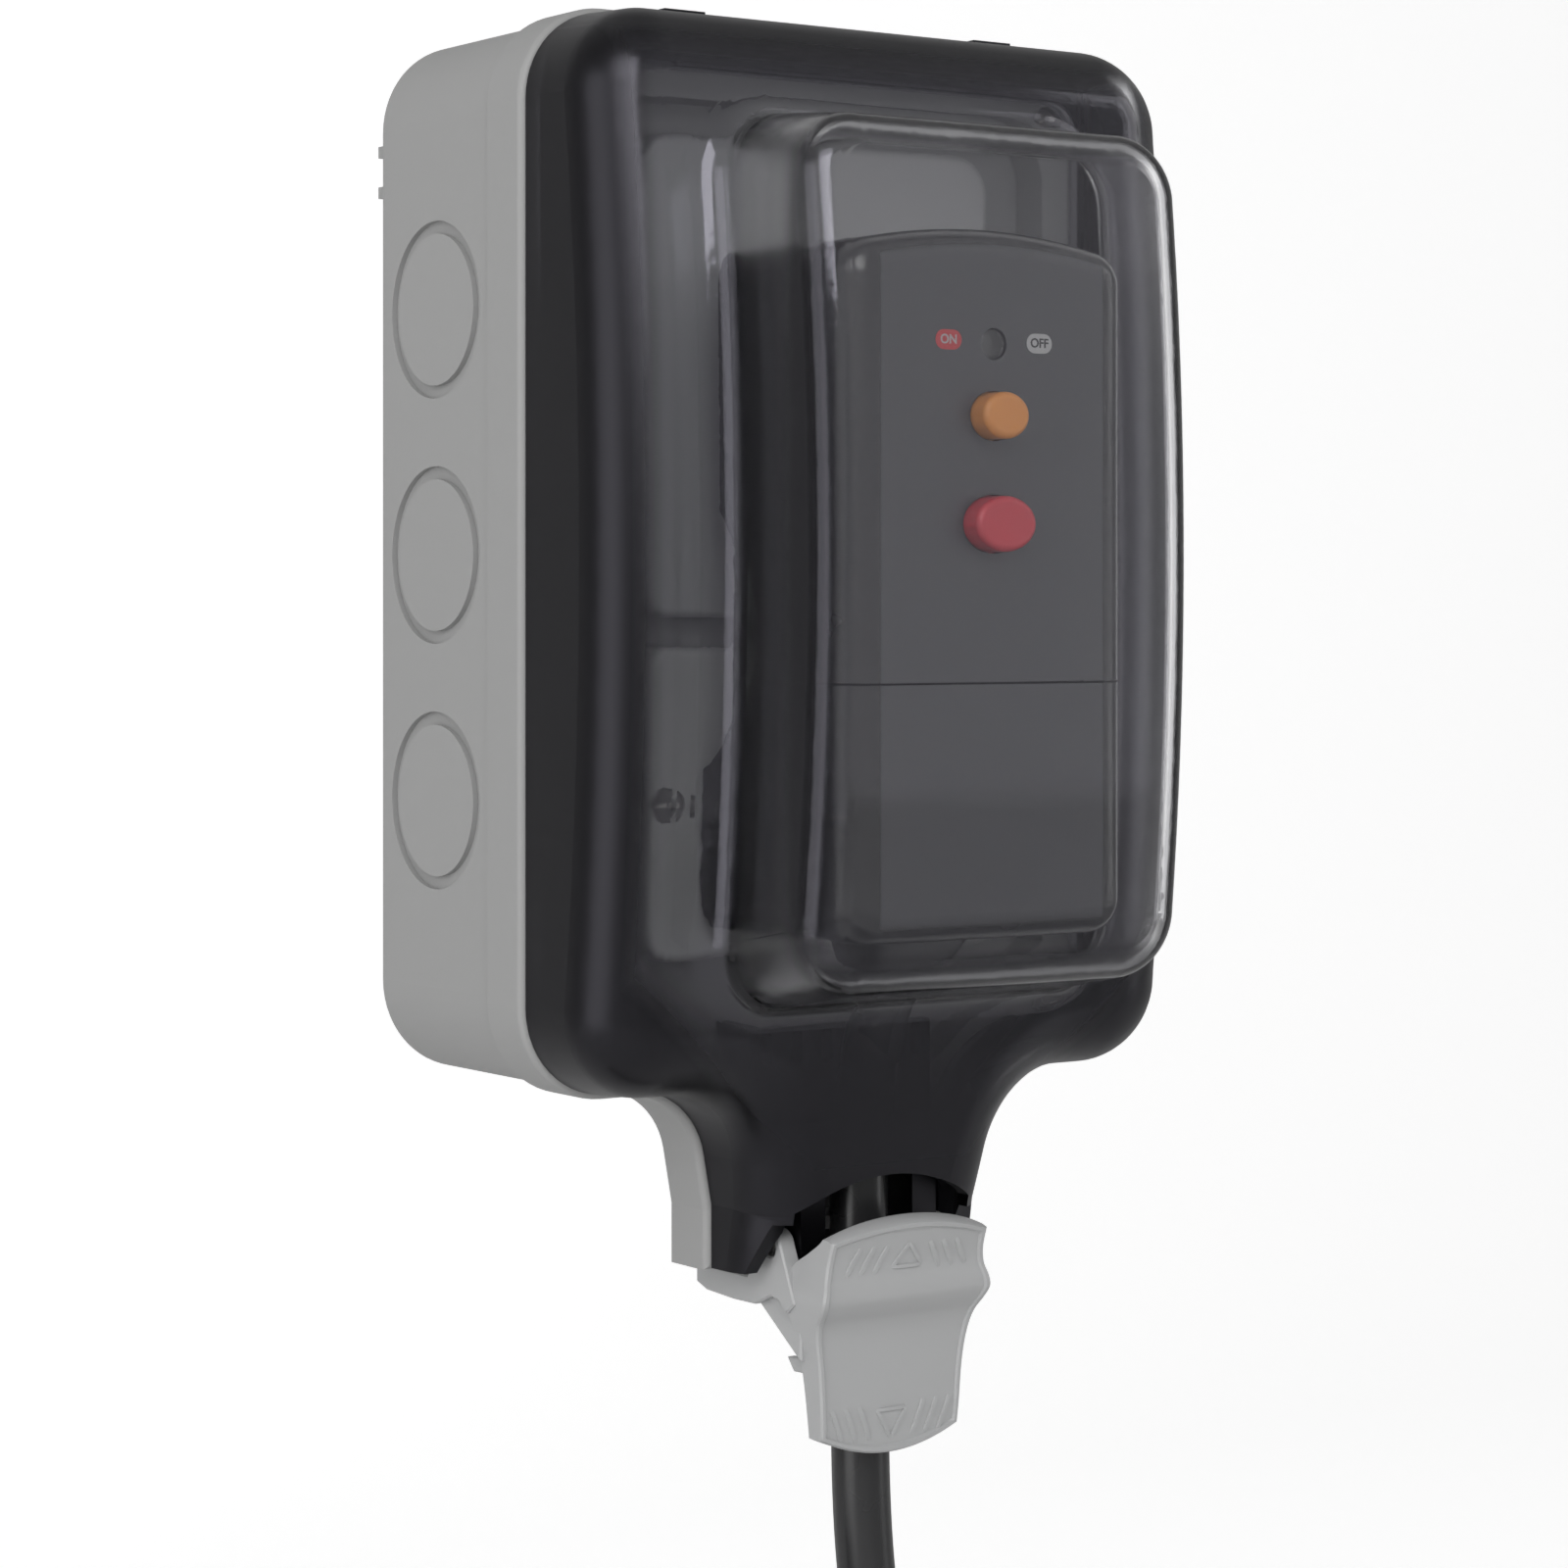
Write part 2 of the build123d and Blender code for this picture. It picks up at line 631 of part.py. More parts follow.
with BuildPart() as latch_lever:
    with BuildSketch(at_depth(cheek_back - 12)):
        add(lever_outline(0))
    extrude(amount=40)
    # The S wave of the front, and behind it the line of the cheeks, which meet the ears
    with BuildSketch(Plane.YZ):
        with BuildLine():
            wave = Spline(*lever_wave)
            Polyline(wave @ 1, (-65.0, -152.0), (-64.8, -147.0), (-cheek_back - 0.6, -138.0),
                     (-cheek_back, -126.0), (-cheek_back, -119.0), (-66.0, -113.0), (-70.0, -108.0), wave @ 0)
        make_face()
    extrude(amount=40, both=True, mode=Mode.INTERSECT)
    add(lever_slice(lever_outline(lever_edge), lever_thick, 0), mode=Mode.SUBTRACT)
    # The front is let in by a shallow step, which leaves a rim, and carries the raised marks
    add(lever_slice(lever_outline(rim_wide), -1, rim_deep), mode=Mode.SUBTRACT)
    add(lever_slice(grip_marks(-112.4, -116.6), rim_deep - mark_tall, rim_deep + 0.4))
    add(lever_slice(grip_marks(-147.0, -142.8), rim_deep - mark_tall, rim_deep + 0.4))
    for side in (-1, 1):
        # Ear, arm and claw in one plate
        with BuildSketch(Plane.YZ.offset(side * ear_centre - ear_thick / 2)):
            Polygon((-latch_depth - 2.6, latch_height + 1.6), (-latch_depth + 2.6, latch_height + 1.6),
                    (-50.4, neck_bottom - arm_gap), (-claw_front, neck_bottom - arm_gap),
                    (-claw_front + claw_slope, neck_bottom + claw_bite),
                    (-claw_front + 1.5, neck_bottom + claw_bite + 0.4),
                    (-claw_front + claw_thick, neck_bottom + 1), (-claw_front + claw_thick, arm_foot + 1),
                    (-claw_front + 0.5, arm_foot), (-52.5, arm_foot - 0.7), (-58.0, arm_foot + 0.8),
                    (-cheek_back - 0.4, arm_foot - 3.5), (-69.0, arm_foot - 3.5), (-69.4, -121.0),
                    (-cheek_back, -119.0), align=None)
            with Locations((-latch_depth, latch_height)):
                Circle(ear_radius)
                Circle(latch_pin + running_gap, mode=Mode.SUBTRACT)
        extrude(amount=ear_thick)
        # Gusset under the arm, and the small barb behind the cheek
        with BuildSketch(Plane.YZ.offset(side * (ear_centre - 0.8) - 0.8)):
            Polygon((-51.5, arm_foot - 0.4), (-58.0, arm_foot + 2), (-66.0, arm_foot + 1), (-66.0, -139.0),
                    (-cheek_back - 0.2, -136.0), align=None)
        extrude(amount=1.6)
        with BuildSketch(Plane.YZ.offset(side * 13.2 - 0.9)):
            Polygon((-64.0, -131.2), (-57.4, -131.9), (-58.8, -134.5), (-64.0, -134.6), align=None)
        extrude(amount=1.8)
save("latch_lever", latch_lever.part)

# Cord seal: a rubber comb across the funnel, behind the cord
with BuildPart() as cord_seal:
    with BuildSketch(at_depth(deck_front)):
        with Locations((0, comb_bottom)):
            Rectangle(2 * comb_half, comb_top - comb_bottom, align=(Align.CENTER, Align.MIN))
    extrude(amount=comb_front - deck_front)
    fillet(edges().filter_by(Axis.X).group_by(Axis.Y)[0], 1.2)
    with BuildSketch(at_depth(comb_front - comb_slot_depth)):
        with Locations((0, comb_top - 4.0)):
            with GridLocations(comb_pitch, 0, comb_slots, 1):
                SlotOverall(comb_slot_tall, comb_slot_wide, rotation=90)
    extrude(amount=comb_slot_depth + 1, mode=Mode.SUBTRACT)
save("cord_seal", cord_seal.part)

# Screws that hold the front frame to the back box
with BuildPart() as frame_screws:
    with BuildSketch(at_depth(box_depth - 18)):
        with GridLocations(2 * screw_x, 2 * screw_z, 2, 2):
            Circle(screw_radius)
    extrude(amount=screw_seat - box_depth + 18)
    with BuildSketch(at_depth(screw_seat)):
        with GridLocations(2 * screw_x, 2 * screw_z, 2, 2):
            Circle(screw_head)
    extrude(amount=screw_head_tall)
    with BuildSketch(at_depth(screw_seat + 1)):
        with GridLocations(2 * screw_x, 2 * screw_z, 2, 2):
            Rectangle(4.2, 0.9)
            Rectangle(0.9, 4.2)
    extrude(amount=screw_head_tall, mode=Mode.SUBTRACT)
save("frame_screws", frame_screws.part)

# Blank panel: closes the deck above the socket
with BuildPart() as blank_panel:
    with BuildSketch(at_depth(deck_front)):
        with Locations((0, (panel_top + panel_bottom) / 2)):
            RectangleRounded(2 * socket_half, panel_top - panel_bottom, 7)
    extrude(amount=panel_front - deck_front)
    fillet(faces().sort_by(Axis.Y)[0].edges(), 1.5)
    with BuildSketch(at_depth(deck_front - 1)):
        with Locations((0, (panel_top + panel_bottom) / 2)):
            RectangleRounded(2 * socket_half - 4.4, panel_top - panel_bottom - 4.4, 5)
    extrude(amount=panel_front - deck_front - 1.2, mode=Mode.SUBTRACT)
    with BuildSketch(at_depth(deck_front)):
        with Locations((0, (panel_top + panel_bottom) / 2)):
            with GridLocations(24, 0, 3, 1):
                Rectangle(1.4, panel_top - panel_bottom - 3)
    extrude(amount=panel_front - deck_front - 1)
save("blank_panel", blank_panel.part)

# Socket faceplate, with the three pin openings
with BuildPart() as socket_faceplate:
    with BuildSketch(at_depth(deck_front)):
        with Locations((0, (socket_top + socket_bottom) / 2)):
            RectangleRounded(2 * socket_half, socket_top - socket_bottom, 5)
    extrude(amount=face_depth - deck_front)
    fillet(faces().sort_by(Axis.Y)[0].edges(), 1.5)
    with BuildSketch(at_depth(deck_front - 1)):
        with Locations((0, (socket_top + socket_bottom) / 2)):
            RectangleRounded(2 * socket_half - 4.4, socket_top - socket_bottom - 4.4, 3)
    extrude(amount=face_depth - deck_front - face_thick + 1, mode=Mode.SUBTRACT)
    with BuildSketch(at_depth(deck_front)):
        with Locations((0, socket_screw_z)):
            with GridLocations(2 * socket_screw_x, 0, 2, 1):
                Circle(3.0)
    extrude(amount=face_depth - deck_front - 1)
    with BuildSketch(at_depth(deck_front - 1)):
        with Locations((0, socket_screw_z)):
            with GridLocations(2 * socket_screw_x, 0, 2, 1):
                Circle(socket_screw_radius + 0.2)
        pin_windows(0.4)
    extrude(amount=20, mode=Mode.SUBTRACT)
    with BuildSketch(at_depth(face_depth - 2)):
        with Locations((0, socket_screw_z)):
            with GridLocations(2 * socket_screw_x, 0, 2, 1):
                Circle(2.9)
    extrude(amount=5, mode=Mode.SUBTRACT)
save("socket_faceplate", socket_faceplate.part)

# Screws that hold the socket to the frame's deck
with BuildPart() as socket_screws:
    with BuildSketch(at_depth(frame_back - boss_deep + 1)):
        with Locations((0, socket_screw_z)):
            with GridLocations(2 * socket_screw_x, 0, 2, 1):
                Circle(socket_screw_radius)
    extrude(amount=face_depth - 2 - frame_back + boss_deep - 1)
    with BuildSketch(at_depth(face_depth - 2)):
        with Locations((0, socket_screw_z)):
            with GridLocations(2 * socket_screw_x, 0, 2, 1):
                Circle(2.6)
                Rectangle(3.6, 0.8, mode=Mode.SUBTRACT)
    extrude(amount=1.8)
save("socket_screws", socket_screws.part)

# Socket base: the moulding behind the faceplate that holds the contacts
with BuildPart() as socket_base:
    with BuildSketch(at_depth(base_back)):
        with Locations((0, (socket_top + socket_bottom) / 2)):
            RectangleRounded(2 * base_half, base_tall, 2.5)
    extrude(amount=base_front - base_back)
    with BuildSketch(at_depth(pocket_back)):
        with Locations((-pin_x, line_z), (pin_x, line_z)):
            Rectangle(9.4, 8.4)
        with Locations((0, earth_z)):
            Rectangle(8.4, 9.4)
    extrude(amount=40, mode=Mode.SUBTRACT)
    with BuildSketch(at_depth(base_back - 1)):
        with Locations((-pin_x, line_z), (pin_x, line_z), (0, earth_z)):
            Circle(2.9)
    extrude(amount=8, mode=Mode.SUBTRACT)
    # Recess for the shutter
    with BuildSketch(at_depth(shutter_back)):
        with Locations((0, (line_z + earth_z) / 2)):
            Rectangle(2 * shutter_half + 0.8, shutter_tall + 0.8)
    extrude(amount=20, mode=Mode.SUBTRACT)
save("socket_base", socket_base.part)

# Shutter: held open by the plug's earth pin
with BuildPart() as socket_shutter:
    with BuildSketch(at_depth(shutter_back + 0.1)):
        with Locations((0, (line_z + earth_z) / 2)):
            Rectangle(2 * shutter_half, shutter_tall)
        pin_windows(0.5, Mode.SUBTRACT)
    extrude(amount=base_front - shutter_back - 0.2)
save("socket_shutter", socket_shutter.part)

# Line and neutral contacts grip their pins above and below, the earth contact from both sides
for name, side in (("neutral_contact", -1), ("live_contact", 1)):
    with BuildPart() as contact:
        with BuildSketch(Plane.YZ.offset(side * pin_x - 2.75)):
            with Locations((-plug_back + line_reach + 0.3, line_z)):
                Rectangle(11, pin_thick + 2 * (leaf + grip_gap), align=(Align.MAX, Align.CENTER))
                Rectangle(11, pin_thick + 2 * grip_gap, align=(Align.MAX, Align.CENTER), mode=Mode.SUBTRACT)
                Rectangle(leaf, pin_thick + 2 * (leaf + grip_gap), align=(Align.MIN, Align.CENTER))
        extrude(amount=5.5)
        with BuildSketch(at_depth(pocket_back + 3)):
            with Locations((side * pin_x, line_z)):
                Rectangle(7.6, 6.8)
                Circle(1.5, mode=Mode.SUBTRACT)
        extrude(amount=plug_back - line_reach - leaf - 0.3 - pocket_back - 3)
    save(name, contact.part)

with BuildPart() as earth_contact:
    with BuildSketch(Plane.XY.offset(earth_z - 3.0)):
        with Locations((0, -plug_back + earth_reach + 0.3)):
            Rectangle(earth_width + 2 * (leaf + grip_gap), 16, align=(Align.CENTER, Align.MAX))
            Rectangle(earth_width + 2 * grip_gap, 16, align=(Align.CENTER, Align.MAX), mode=Mode.SUBTRACT)
            Rectangle(earth_width + 2 * (leaf + grip_gap), leaf, align=(Align.CENTER, Align.MIN))
    extrude(amount=6)
    with BuildSketch(at_depth(pocket_back + 3)):
        with Locations((0, earth_z)):
            Rectangle(6.8, 7.6)
            Circle(1.5, mode=Mode.SUBTRACT)
    extrude(amount=plug_back - earth_reach - leaf - 0.3 - pocket_back - 3)
save("earth_contact", earth_contact.part)

# Terminal screws, driven from behind
with BuildPart() as terminal_screws:
    with BuildSketch(at_depth(pocket_back + 3)):
        with Locations((-pin_x, line_z), (pin_x, line_z), (0, earth_z)):
            Circle(1.5)
    extrude(amount=4.5)
    with BuildSketch(at_depth(pocket_back + 1.2)):
        with Locations((-pin_x, line_z), (pin_x, line_z), (0, earth_z)):
            Circle(2.4)
            Rectangle(3.4, 0.7, mode=Mode.SUBTRACT)
    extrude(amount=1.8)
save("terminal_screws", terminal_screws.part)

# Safety plug, rear housing: carries the pins, and has a finger grip cut into each side
with BuildPart() as plug_rear_housing:
    with BuildSketch(at_depth(plug_back)):
        plug_outline(0)
    extrude(amount=plug_seam - plug_back)
    fillet(faces().sort_by(Axis.Y)[-1].edges(), 2.0)
    with BuildSketch(Plane.YZ):
        Polygon((0, plug_step_z), (-plug_step_depth, plug_step_z), (-plug_step_depth, 80), (0, 80), align=None)
    extrude(amount=60, both=True, mode=Mode.SUBTRACT)
    for side in (-1, 1):
        with BuildSketch(Plane.YZ.offset(side * (grip_half + 22) - 22)):
            with BuildLine():
                ThreePointArc((-plug_back, grip_low), (-grip_deep, grip_middle), (-plug_step_depth, plug_step_z))
                Polyline((-plug_step_depth, plug_step_z), (0, plug_step_z), (0, grip_low),
                         (-plug_back, grip_low))
            make_face()
        extrude(amount=44, mode=Mode.SUBTRACT)
    # Cavities: one behind the seam, one behind the contact face, two more above and below the grips
    with BuildSketch(at_depth(grip_deep + plug_wall)):
        plug_outline(plug_wall)
    extrude(amount=40, mode=Mode.SUBTRACT)
    with BuildSketch(at_depth(plug_back + plug_wall)):
        with Locations((0, (plug_bottom + plug_step_z) / 2)):
            Rectangle(2 * (grip_half - plug_wall), plug_step_z - plug_bottom - 2 * plug_wall)
        with Locations((0, plug_bottom + plug_wall)):
            Rectangle(2 * (plug_half - plug_wall) - 4, 20, align=(Align.CENTER, Align.MIN))
    extrude(amount=40, mode=Mode.SUBTRACT)
    with BuildSketch(at_depth(plug_step_depth + plug_wall)):
        with Locations((0, plug_step_z + plug_wall)):
            Rectangle(2 * (plug_half - plug_wall) - 2, 36, align=(Align.CENTER, Align.MIN))
    extrude(amount=40, mode=Mode.SUBTRACT)
    # Posts for the circuit board, and ledges for the terminal plate
    with BuildSketch(at_depth(plug_step_depth + 1)):
        with Locations((-21, 40), (21, 40)):
            Circle(2.4)
    extrude(amount=board_back - plug_step_depth - 1)
    with BuildSketch(at_depth(grip_deep + plug_wall - 1)):
        with Locations((-21, -13), (21, -13)):
            Circle(2.4)
    extrude(amount=board_back - grip_deep - plug_wall + 1)
    with BuildSketch(at_depth(plug_back + 1)):
        with Locations((-22, -56), (22, -56)):
            Circle(3.2)
    extrude(amount=plate_back - plug_back - 1)
    with BuildSketch(at_depth(plug_back - 1)):
        pin_windows(0)
    extrude(amount=plug_wall + 2, mode=Mode.SUBTRACT)
    with BuildSketch(Plane.XY.offset(plug_bottom - 1)):
        with Locations((0, -boot_root_depth)):
            RectangleRounded(boot_waist_wide, boot_waist_deep, 3)
    extrude(amount=plug_wall + 2, mode=Mode.SUBTRACT)
save("plug_rear_housing", plug_rear_housing.part)

# Front covers: one moulded form, parted by the split line above the fuse
with BuildPart() as plug_face_form:
    with BuildSketch(at_depth(plug_seam)):
        plug_outline(0)
    extrude(amount=plug_front - plug_seam)
    fillet(faces().sort_by(Axis.Y)[0].edges(), plug_edge)

with BuildPart() as plug_front_cover:
    add(plug_face_form.part)
    with BuildSketch(at_depth(plug_seam - 1)):
        with Locations((0, plug_split_z + plug_gap_line / 2)):
            Rectangle(80, 100, align=(Align.CENTER, Align.MIN))
    extrude(amount=30, mode=Mode.INTERSECT)
    with BuildSketch(at_depth(plug_seam - 1)):
        plug_outline(plug_wall)
        with Locations((0, plug_split_z + plug_wall)):
            Rectangle(80, 100, align=(Align.CENTER, Align.MIN), mode=Mode.INTERSECT)
    extrude(amount=plug_front - plug_wall - plug_seam + 1, mode=Mode.SUBTRACT)
    with BuildSketch(at_depth(plug_seam)):
        with Locations((0, reset_z)):
            Ellipse(reset_half[0] + button_gap, reset_half[1] + button_gap)
        with Locations((0, test_z)):
            Ellipse(test_half[0] + button_gap, test_half[1] + button_gap)
        with Locations((0, window_z)):
            Circle(window_radius)
    extrude(amount=30, mode=Mode.SUBTRACT)
save("plug_front_cover", plug_front_cover.part)

with BuildPart() as plug_fuse_cover:
    add(plug_face_form.part)
    with BuildSketch(at_depth(plug_seam - 1)):
        with Locations((0, plug_split_z - plug_gap_line / 2)):
            Rectangle(80, 100, align=(Align.CENTER, Align.MAX))
    extrude(amount=30, mode=Mode.INTERSECT)
    with BuildSketch(at_depth(plug_seam - 1)):
        plug_outline(plug_wall)
        with Locations((0, plug_split_z - plug_wall)):
            Rectangle(80, 100, align=(Align.CENTER, Align.MAX), mode=Mode.INTERSECT)
    extrude(amount=plug_front - plug_wall - plug_seam + 1, mode=Mode.SUBTRACT)
save("plug_fuse_cover", plug_fuse_cover.part)

# Clear window over the indicator
with BuildPart() as indicator_window:
    with BuildSketch(at_depth(plug_front - plug_wall - 0.8)):
        with Locations((0, window_z)):
            Circle(window_radius + 1)
    extrude(amount=0.8)
    with BuildSketch(at_depth(plug_front - plug_wall)):
        with Locations((0, window_z)):
            Circle(window_radius)
    extrude(amount=plug_wall - 0.3)
    fillet(edges().filter_by(GeomType.CIRCLE).sort_by(Axis.Y)[0], 0.5)
save("indicator_window", indicator_window.part)

# Push buttons: a proud oval cap, a flange that stops it behind the cover, and a stem
for name, height, half in (("reset_button", reset_z, reset_half), ("test_button", test_z, test_half)):
    with BuildPart() as button:
        with BuildSketch(at_depth(flange_back)):
            with Locations((0, height)):
                Ellipse(half[0], half[1])
        extrude(amount=plug_front + button_proud - flange_back)
        fillet(faces().sort_by(Axis.Y)[0].edges(), 1.1)
        with BuildSketch(at_depth(flange_back)):
            with Locations((0, height)):
                Ellipse(half[0] + 0.9, half[1] + 0.9)
        extrude(amount=plug_front - plug_wall - 0.1 - flange_back)
        with BuildSketch(at_depth(flange_back - 6)):
            with Locations((0, height)):
                Circle(1.6)
        extrude(amount=6)
    save(name, button.part)

# Return springs, drawn at their pressed length on the circuit board
for name, height in (("reset_spring", reset_z), ("test_spring", test_z)):
    seat = board_back + board_thick
    spring_tall = flange_back - button_travel - 0.2 - seat - spring_wire
    pitch = spring_tall / spring_turns
    with BuildPart() as spring:
        with BuildLine():
            wire = Helix(pitch, spring_tall, spring_radius, center=(0, -seat - spring_wire / 2 - 0.05, height),
                         direction=(0, -1, 0))
        with BuildSketch(Plane(origin=wire @ 0, z_dir=wire % 0)):
            RegularPolygon(spring_wire / 2, 6)
        sweep()
    save(name, spring.part)

# Circuit board with the parts that trip the plug
with BuildPart() as circuit_board:
    with BuildSketch(at_depth(board_back)):
        with Locations((0, 14.5)):
            RectangleRounded(47, 62, 2)
        with Locations((-16, 4), (16, 4)):
            Circle(1.5, mode=Mode.SUBTRACT)
    extrude(amount=board_thick)
save("circuit_board", circuit_board.part)

with BuildPart() as trip_coil:
    with BuildSketch(Plane.XY.offset(22)):
        with Locations((-11, -board_back + 6.9)):
            Circle(6.9)
    extrude(amount=1.5)
    with BuildSketch(Plane.XY.offset(22)):
        with Locations((-11, -board_back + 6.9)):
            Circle(6.2)
    extrude(amount=16)
    with BuildSketch(Plane.XY.offset(36.5)):
        with Locations((-11, -board_back + 6.9)):
            Circle(6.9)
    extrude(amount=1.5)
    with BuildSketch(Plane.XY.offset(17)):
        with Locations((-11, -board_back + 6.9)):
            Circle(1.5)
    extrude(amount=23)
save("trip_coil", trip_coil.part)

with BuildPart() as sensing_ring:
    with BuildSketch(at_depth(board_back - 8.2)):
        with Locations((0, -7)):
            Circle(9.0)
            Circle(4.5, mode=Mode.SUBTRACT)
    extrude(amount=8)
    fillet(edges().filter_by(GeomType.CIRCLE), 1.2)
save("sensing_ring", sensing_ring.part)

# Indicator flag on its carrier, which slides up the circuit board when the plug is reset
with BuildPart() as indicator_flag:
    with BuildSketch(at_depth(flag_back)):
        with Locations((0, reset_z + 6.4)):
            Rectangle(9, 8.8, align=(Align.CENTER, Align.MIN))
    extrude(amount=1.2)
    with BuildSketch(at_depth(board_back + board_thick + 0.2)):
        with Locations((4.5, reset_z + 6.4)):
            Rectangle(1.6, 8.8, align=(Align.MIN, Align.MIN))
    extrude(amount=flag_back + 1.2 - board_back - board_thick - 0.2)
    with BuildSketch(at_depth(board_back + board_thick + 0.2)):
        with Locations((4.5, reset_z - 4)):
            Rectangle(10, 19.2, align=(Align.MIN, Align.MIN))
    extrude(amount=4)
save("indicator_flag", indicator_flag.part)

# Terminal plate, fuse and fuse clips under the lower cover
with BuildPart() as terminal_plate:
    with BuildSketch(at_depth(plate_back)):
        with Locations((0, -40.9)):
            RectangleRounded(50, 37, 3.6)
    extrude(amount=plate_front - plate_back)
    with BuildSketch(at_depth(plate_back - 1)):
        with Locations((-10, -52)):
            Circle(3.5)
    extrude(amount=6, mode=Mode.SUBTRACT)
save("terminal_plate", terminal_plate.part)

with BuildPart() as fuse:
    with BuildSketch(Plane.XY.offset(fuse_middle)):
        with Locations((fuse_x, -fuse_depth)):
            Circle(fuse_radius - 0.25)
    extrude(amount=fuse_length / 2 - 1, both=True)
    for end in (-1, 1):
        with BuildSketch(Plane.XY.offset(fuse_middle + end * (fuse_length / 2 - 3) - 3)):
            with Locations((fuse_x, -fuse_depth)):
                Circle(fuse_radius)
        extrude(amount=6)
save("fuse", fuse.part)

with BuildPart() as fuse_clips:
    for end in (-1, 1):
        with BuildSketch(Plane.XY.offset(fuse_middle + end * (fuse_length / 2 - 3) - 2.2)):
            with Locations((fuse_x, -plate_front)):
                Rectangle(2 * fuse_radius + 1.7, 7.4, align=(Align.CENTER, Align.MAX))
                with Locations((0, -0.7)):
                    Rectangle(2 * fuse_radius + 0.1, 7, align=(Align.CENTER, Align.MAX), mode=Mode.SUBTRACT)
        extrude(amount=4.4)
save("fuse_clips", fuse_clips.part)

# Plug pins; the line and neutral pins are waisted for their insulating sleeves
for name, side in (("plug_neutral_pin", -1), ("plug_live_pin", 1)):
    with BuildPart() as pin:
        with BuildSketch(at_depth(plug_back - line_reach)):
            with Locations((side * pin_x, line_z)):
                Rectangle(pin_width, pin_thick)
        extrude(amount=line_reach - sleeve_long)
        chamfer(faces().sort_by(Axis.Y)[-1].edges(), 0.8)
        with BuildSketch(at_depth(plug_back - sleeve_long)):
            with Locations((side * pin_x, line_z)):
                Rectangle(pin_width - 2 * sleeve_wall, pin_thick - 2 * sleeve_wall)
        extrude(amount=sleeve_long)
        with BuildSketch(at_depth(plug_back)):
            with Locations((side * pin_x, line_z)):
                Rectangle(pin_width, pin_thick)
        extrude(amount=8)
    save(name, pin.part)

with BuildPart() as plug_earth_pin:
    with BuildSketch(at_depth(plug_back - earth_reach)):
        with Locations((0, earth_z)):
            Rectangle(earth_width, earth_tall)
    extrude(amount=earth_reach + 8)
    chamfer(faces().sort_by(Axis.Y)[-1].edges(), 1.0)
save("plug_earth_pin", plug_earth_pin.part)

with BuildPart() as pin_sleeves:
    with BuildSketch(at_depth(plug_back - sleeve_long)):
        with Locations((-pin_x, line_z), (pin_x, line_z)):
            Rectangle(pin_width, pin_thick)
            Rectangle(pin_width - 2 * sleeve_wall, pin_thick - 2 * sleeve_wall, mode=Mode.SUBTRACT)
    extrude(amount=sleeve_long)
save("pin_sleeves", pin_sleeves.part)

# Boot: the tapered strain relief under the plug, tilted back to clear the lid
tilt = radians(boot_tilt)
boot_root = Vector(0, -boot_root_depth, plug_bottom)
cord_down = Vector(0, sin(tilt), -cos(tilt))
cord_exit = boot_root + cord_down * boot_length
with BuildPart() as cord_boot:
    for along, wide, deep in ((-6.0, 22.0, 17.0), (boot_length, 15.6, 11.2)):
        section = Plane(origin=boot_root + cord_down * along, x_dir=(1, 0, 0), z_dir=cord_down)
        with BuildSketch(section):
            RectangleRounded(wide, deep, 4)
    loft()
    with BuildSketch(Plane.XY.offset(plug_bottom)):
        with Locations((0, -boot_root_depth)):
            Rectangle(60, 60)
    extrude(amount=20, mode=Mode.SUBTRACT)
    # Inside the housing: a waist in the wall, a flange behind it, and a stub that grips the cord
    for start, tall, wide, deep in ((plug_bottom, plug_wall, boot_waist_wide - 0.4, boot_waist_deep - 0.4),
                                    (plug_bottom + plug_wall, 2.0, boot_waist_wide + 3.6, boot_waist_deep + 1.4),
                                    (plug_bottom + plug_wall + 2.0, 8.5, boot_waist_wide - 2, boot_waist_deep - 1)):
        with BuildSketch(Plane.XY.offset(start)):
            with Locations((0, -boot_root_depth)):
                RectangleRounded(wide, deep, 3)
        extrude(amount=tall)
save("cord_boot", cord_boot.part)


def turn_radii(points):
    """Bend radius at each inner point: 0.45 of the shorter run over the tangent of half the turn."""
    radii = []
    for before, here, after in zip(points, points[1:], points[2:]):
        run_in = here - before
        run_out = after - here
        half_turn = radians(run_in.get_angle(run_out)) / 2
        radii.append(0.45 * min(run_in.length, run_out.length) / tan(half_turn))
    return radii


# Free stretch of the cord: from the boot, back through the neck, behind the lever and down
cord_points = [cord_exit, cord_exit + cord_down * 12.5] + [Vector(*point) for point in (
    (0.0, -58.1, -94.4), (0.0, -58.1, -112.5), (0.4, -58.2, -132.0), (0.0, -58.4, -153.0),
    (1.0, -58.6, -172.0), (4.0, -58.8, -190.8), (7.9, -59.0, -209.3), (coil_x, -coil_depth, -228.2),
    (coil_x, -coil_depth, coil_start))]
cord_radii = turn_radii(cord_points)
print("cord radii", [round(radius, 1) for radius in cord_radii])
with BuildPart() as cord:
    with BuildLine():
        path = FilletPolyline(*cord_points, radius=cord_radii)
    with BuildSketch(Plane(origin=path @ 0, z_dir=path % 0)):
        Circle(cord_diameter / 2)
    sweep()
cord_section = pi * cord_diameter ** 2 / 4
print("cord volume over section times length", round(cord.part.volume / (cord_section * path.length), 4),
      "length", round(path.length, 1))
save("cord", cord.part)

# Coil: spirals in on one layer, climbs in the half turn where it reverses, and spirals out on the next
coil_centre_x = coil_x - coil_radius
coil_centre_z = coil_start - cord_diameter
turn_total = 2 * pi * coil_turns
turn_middle = turn_total / 2


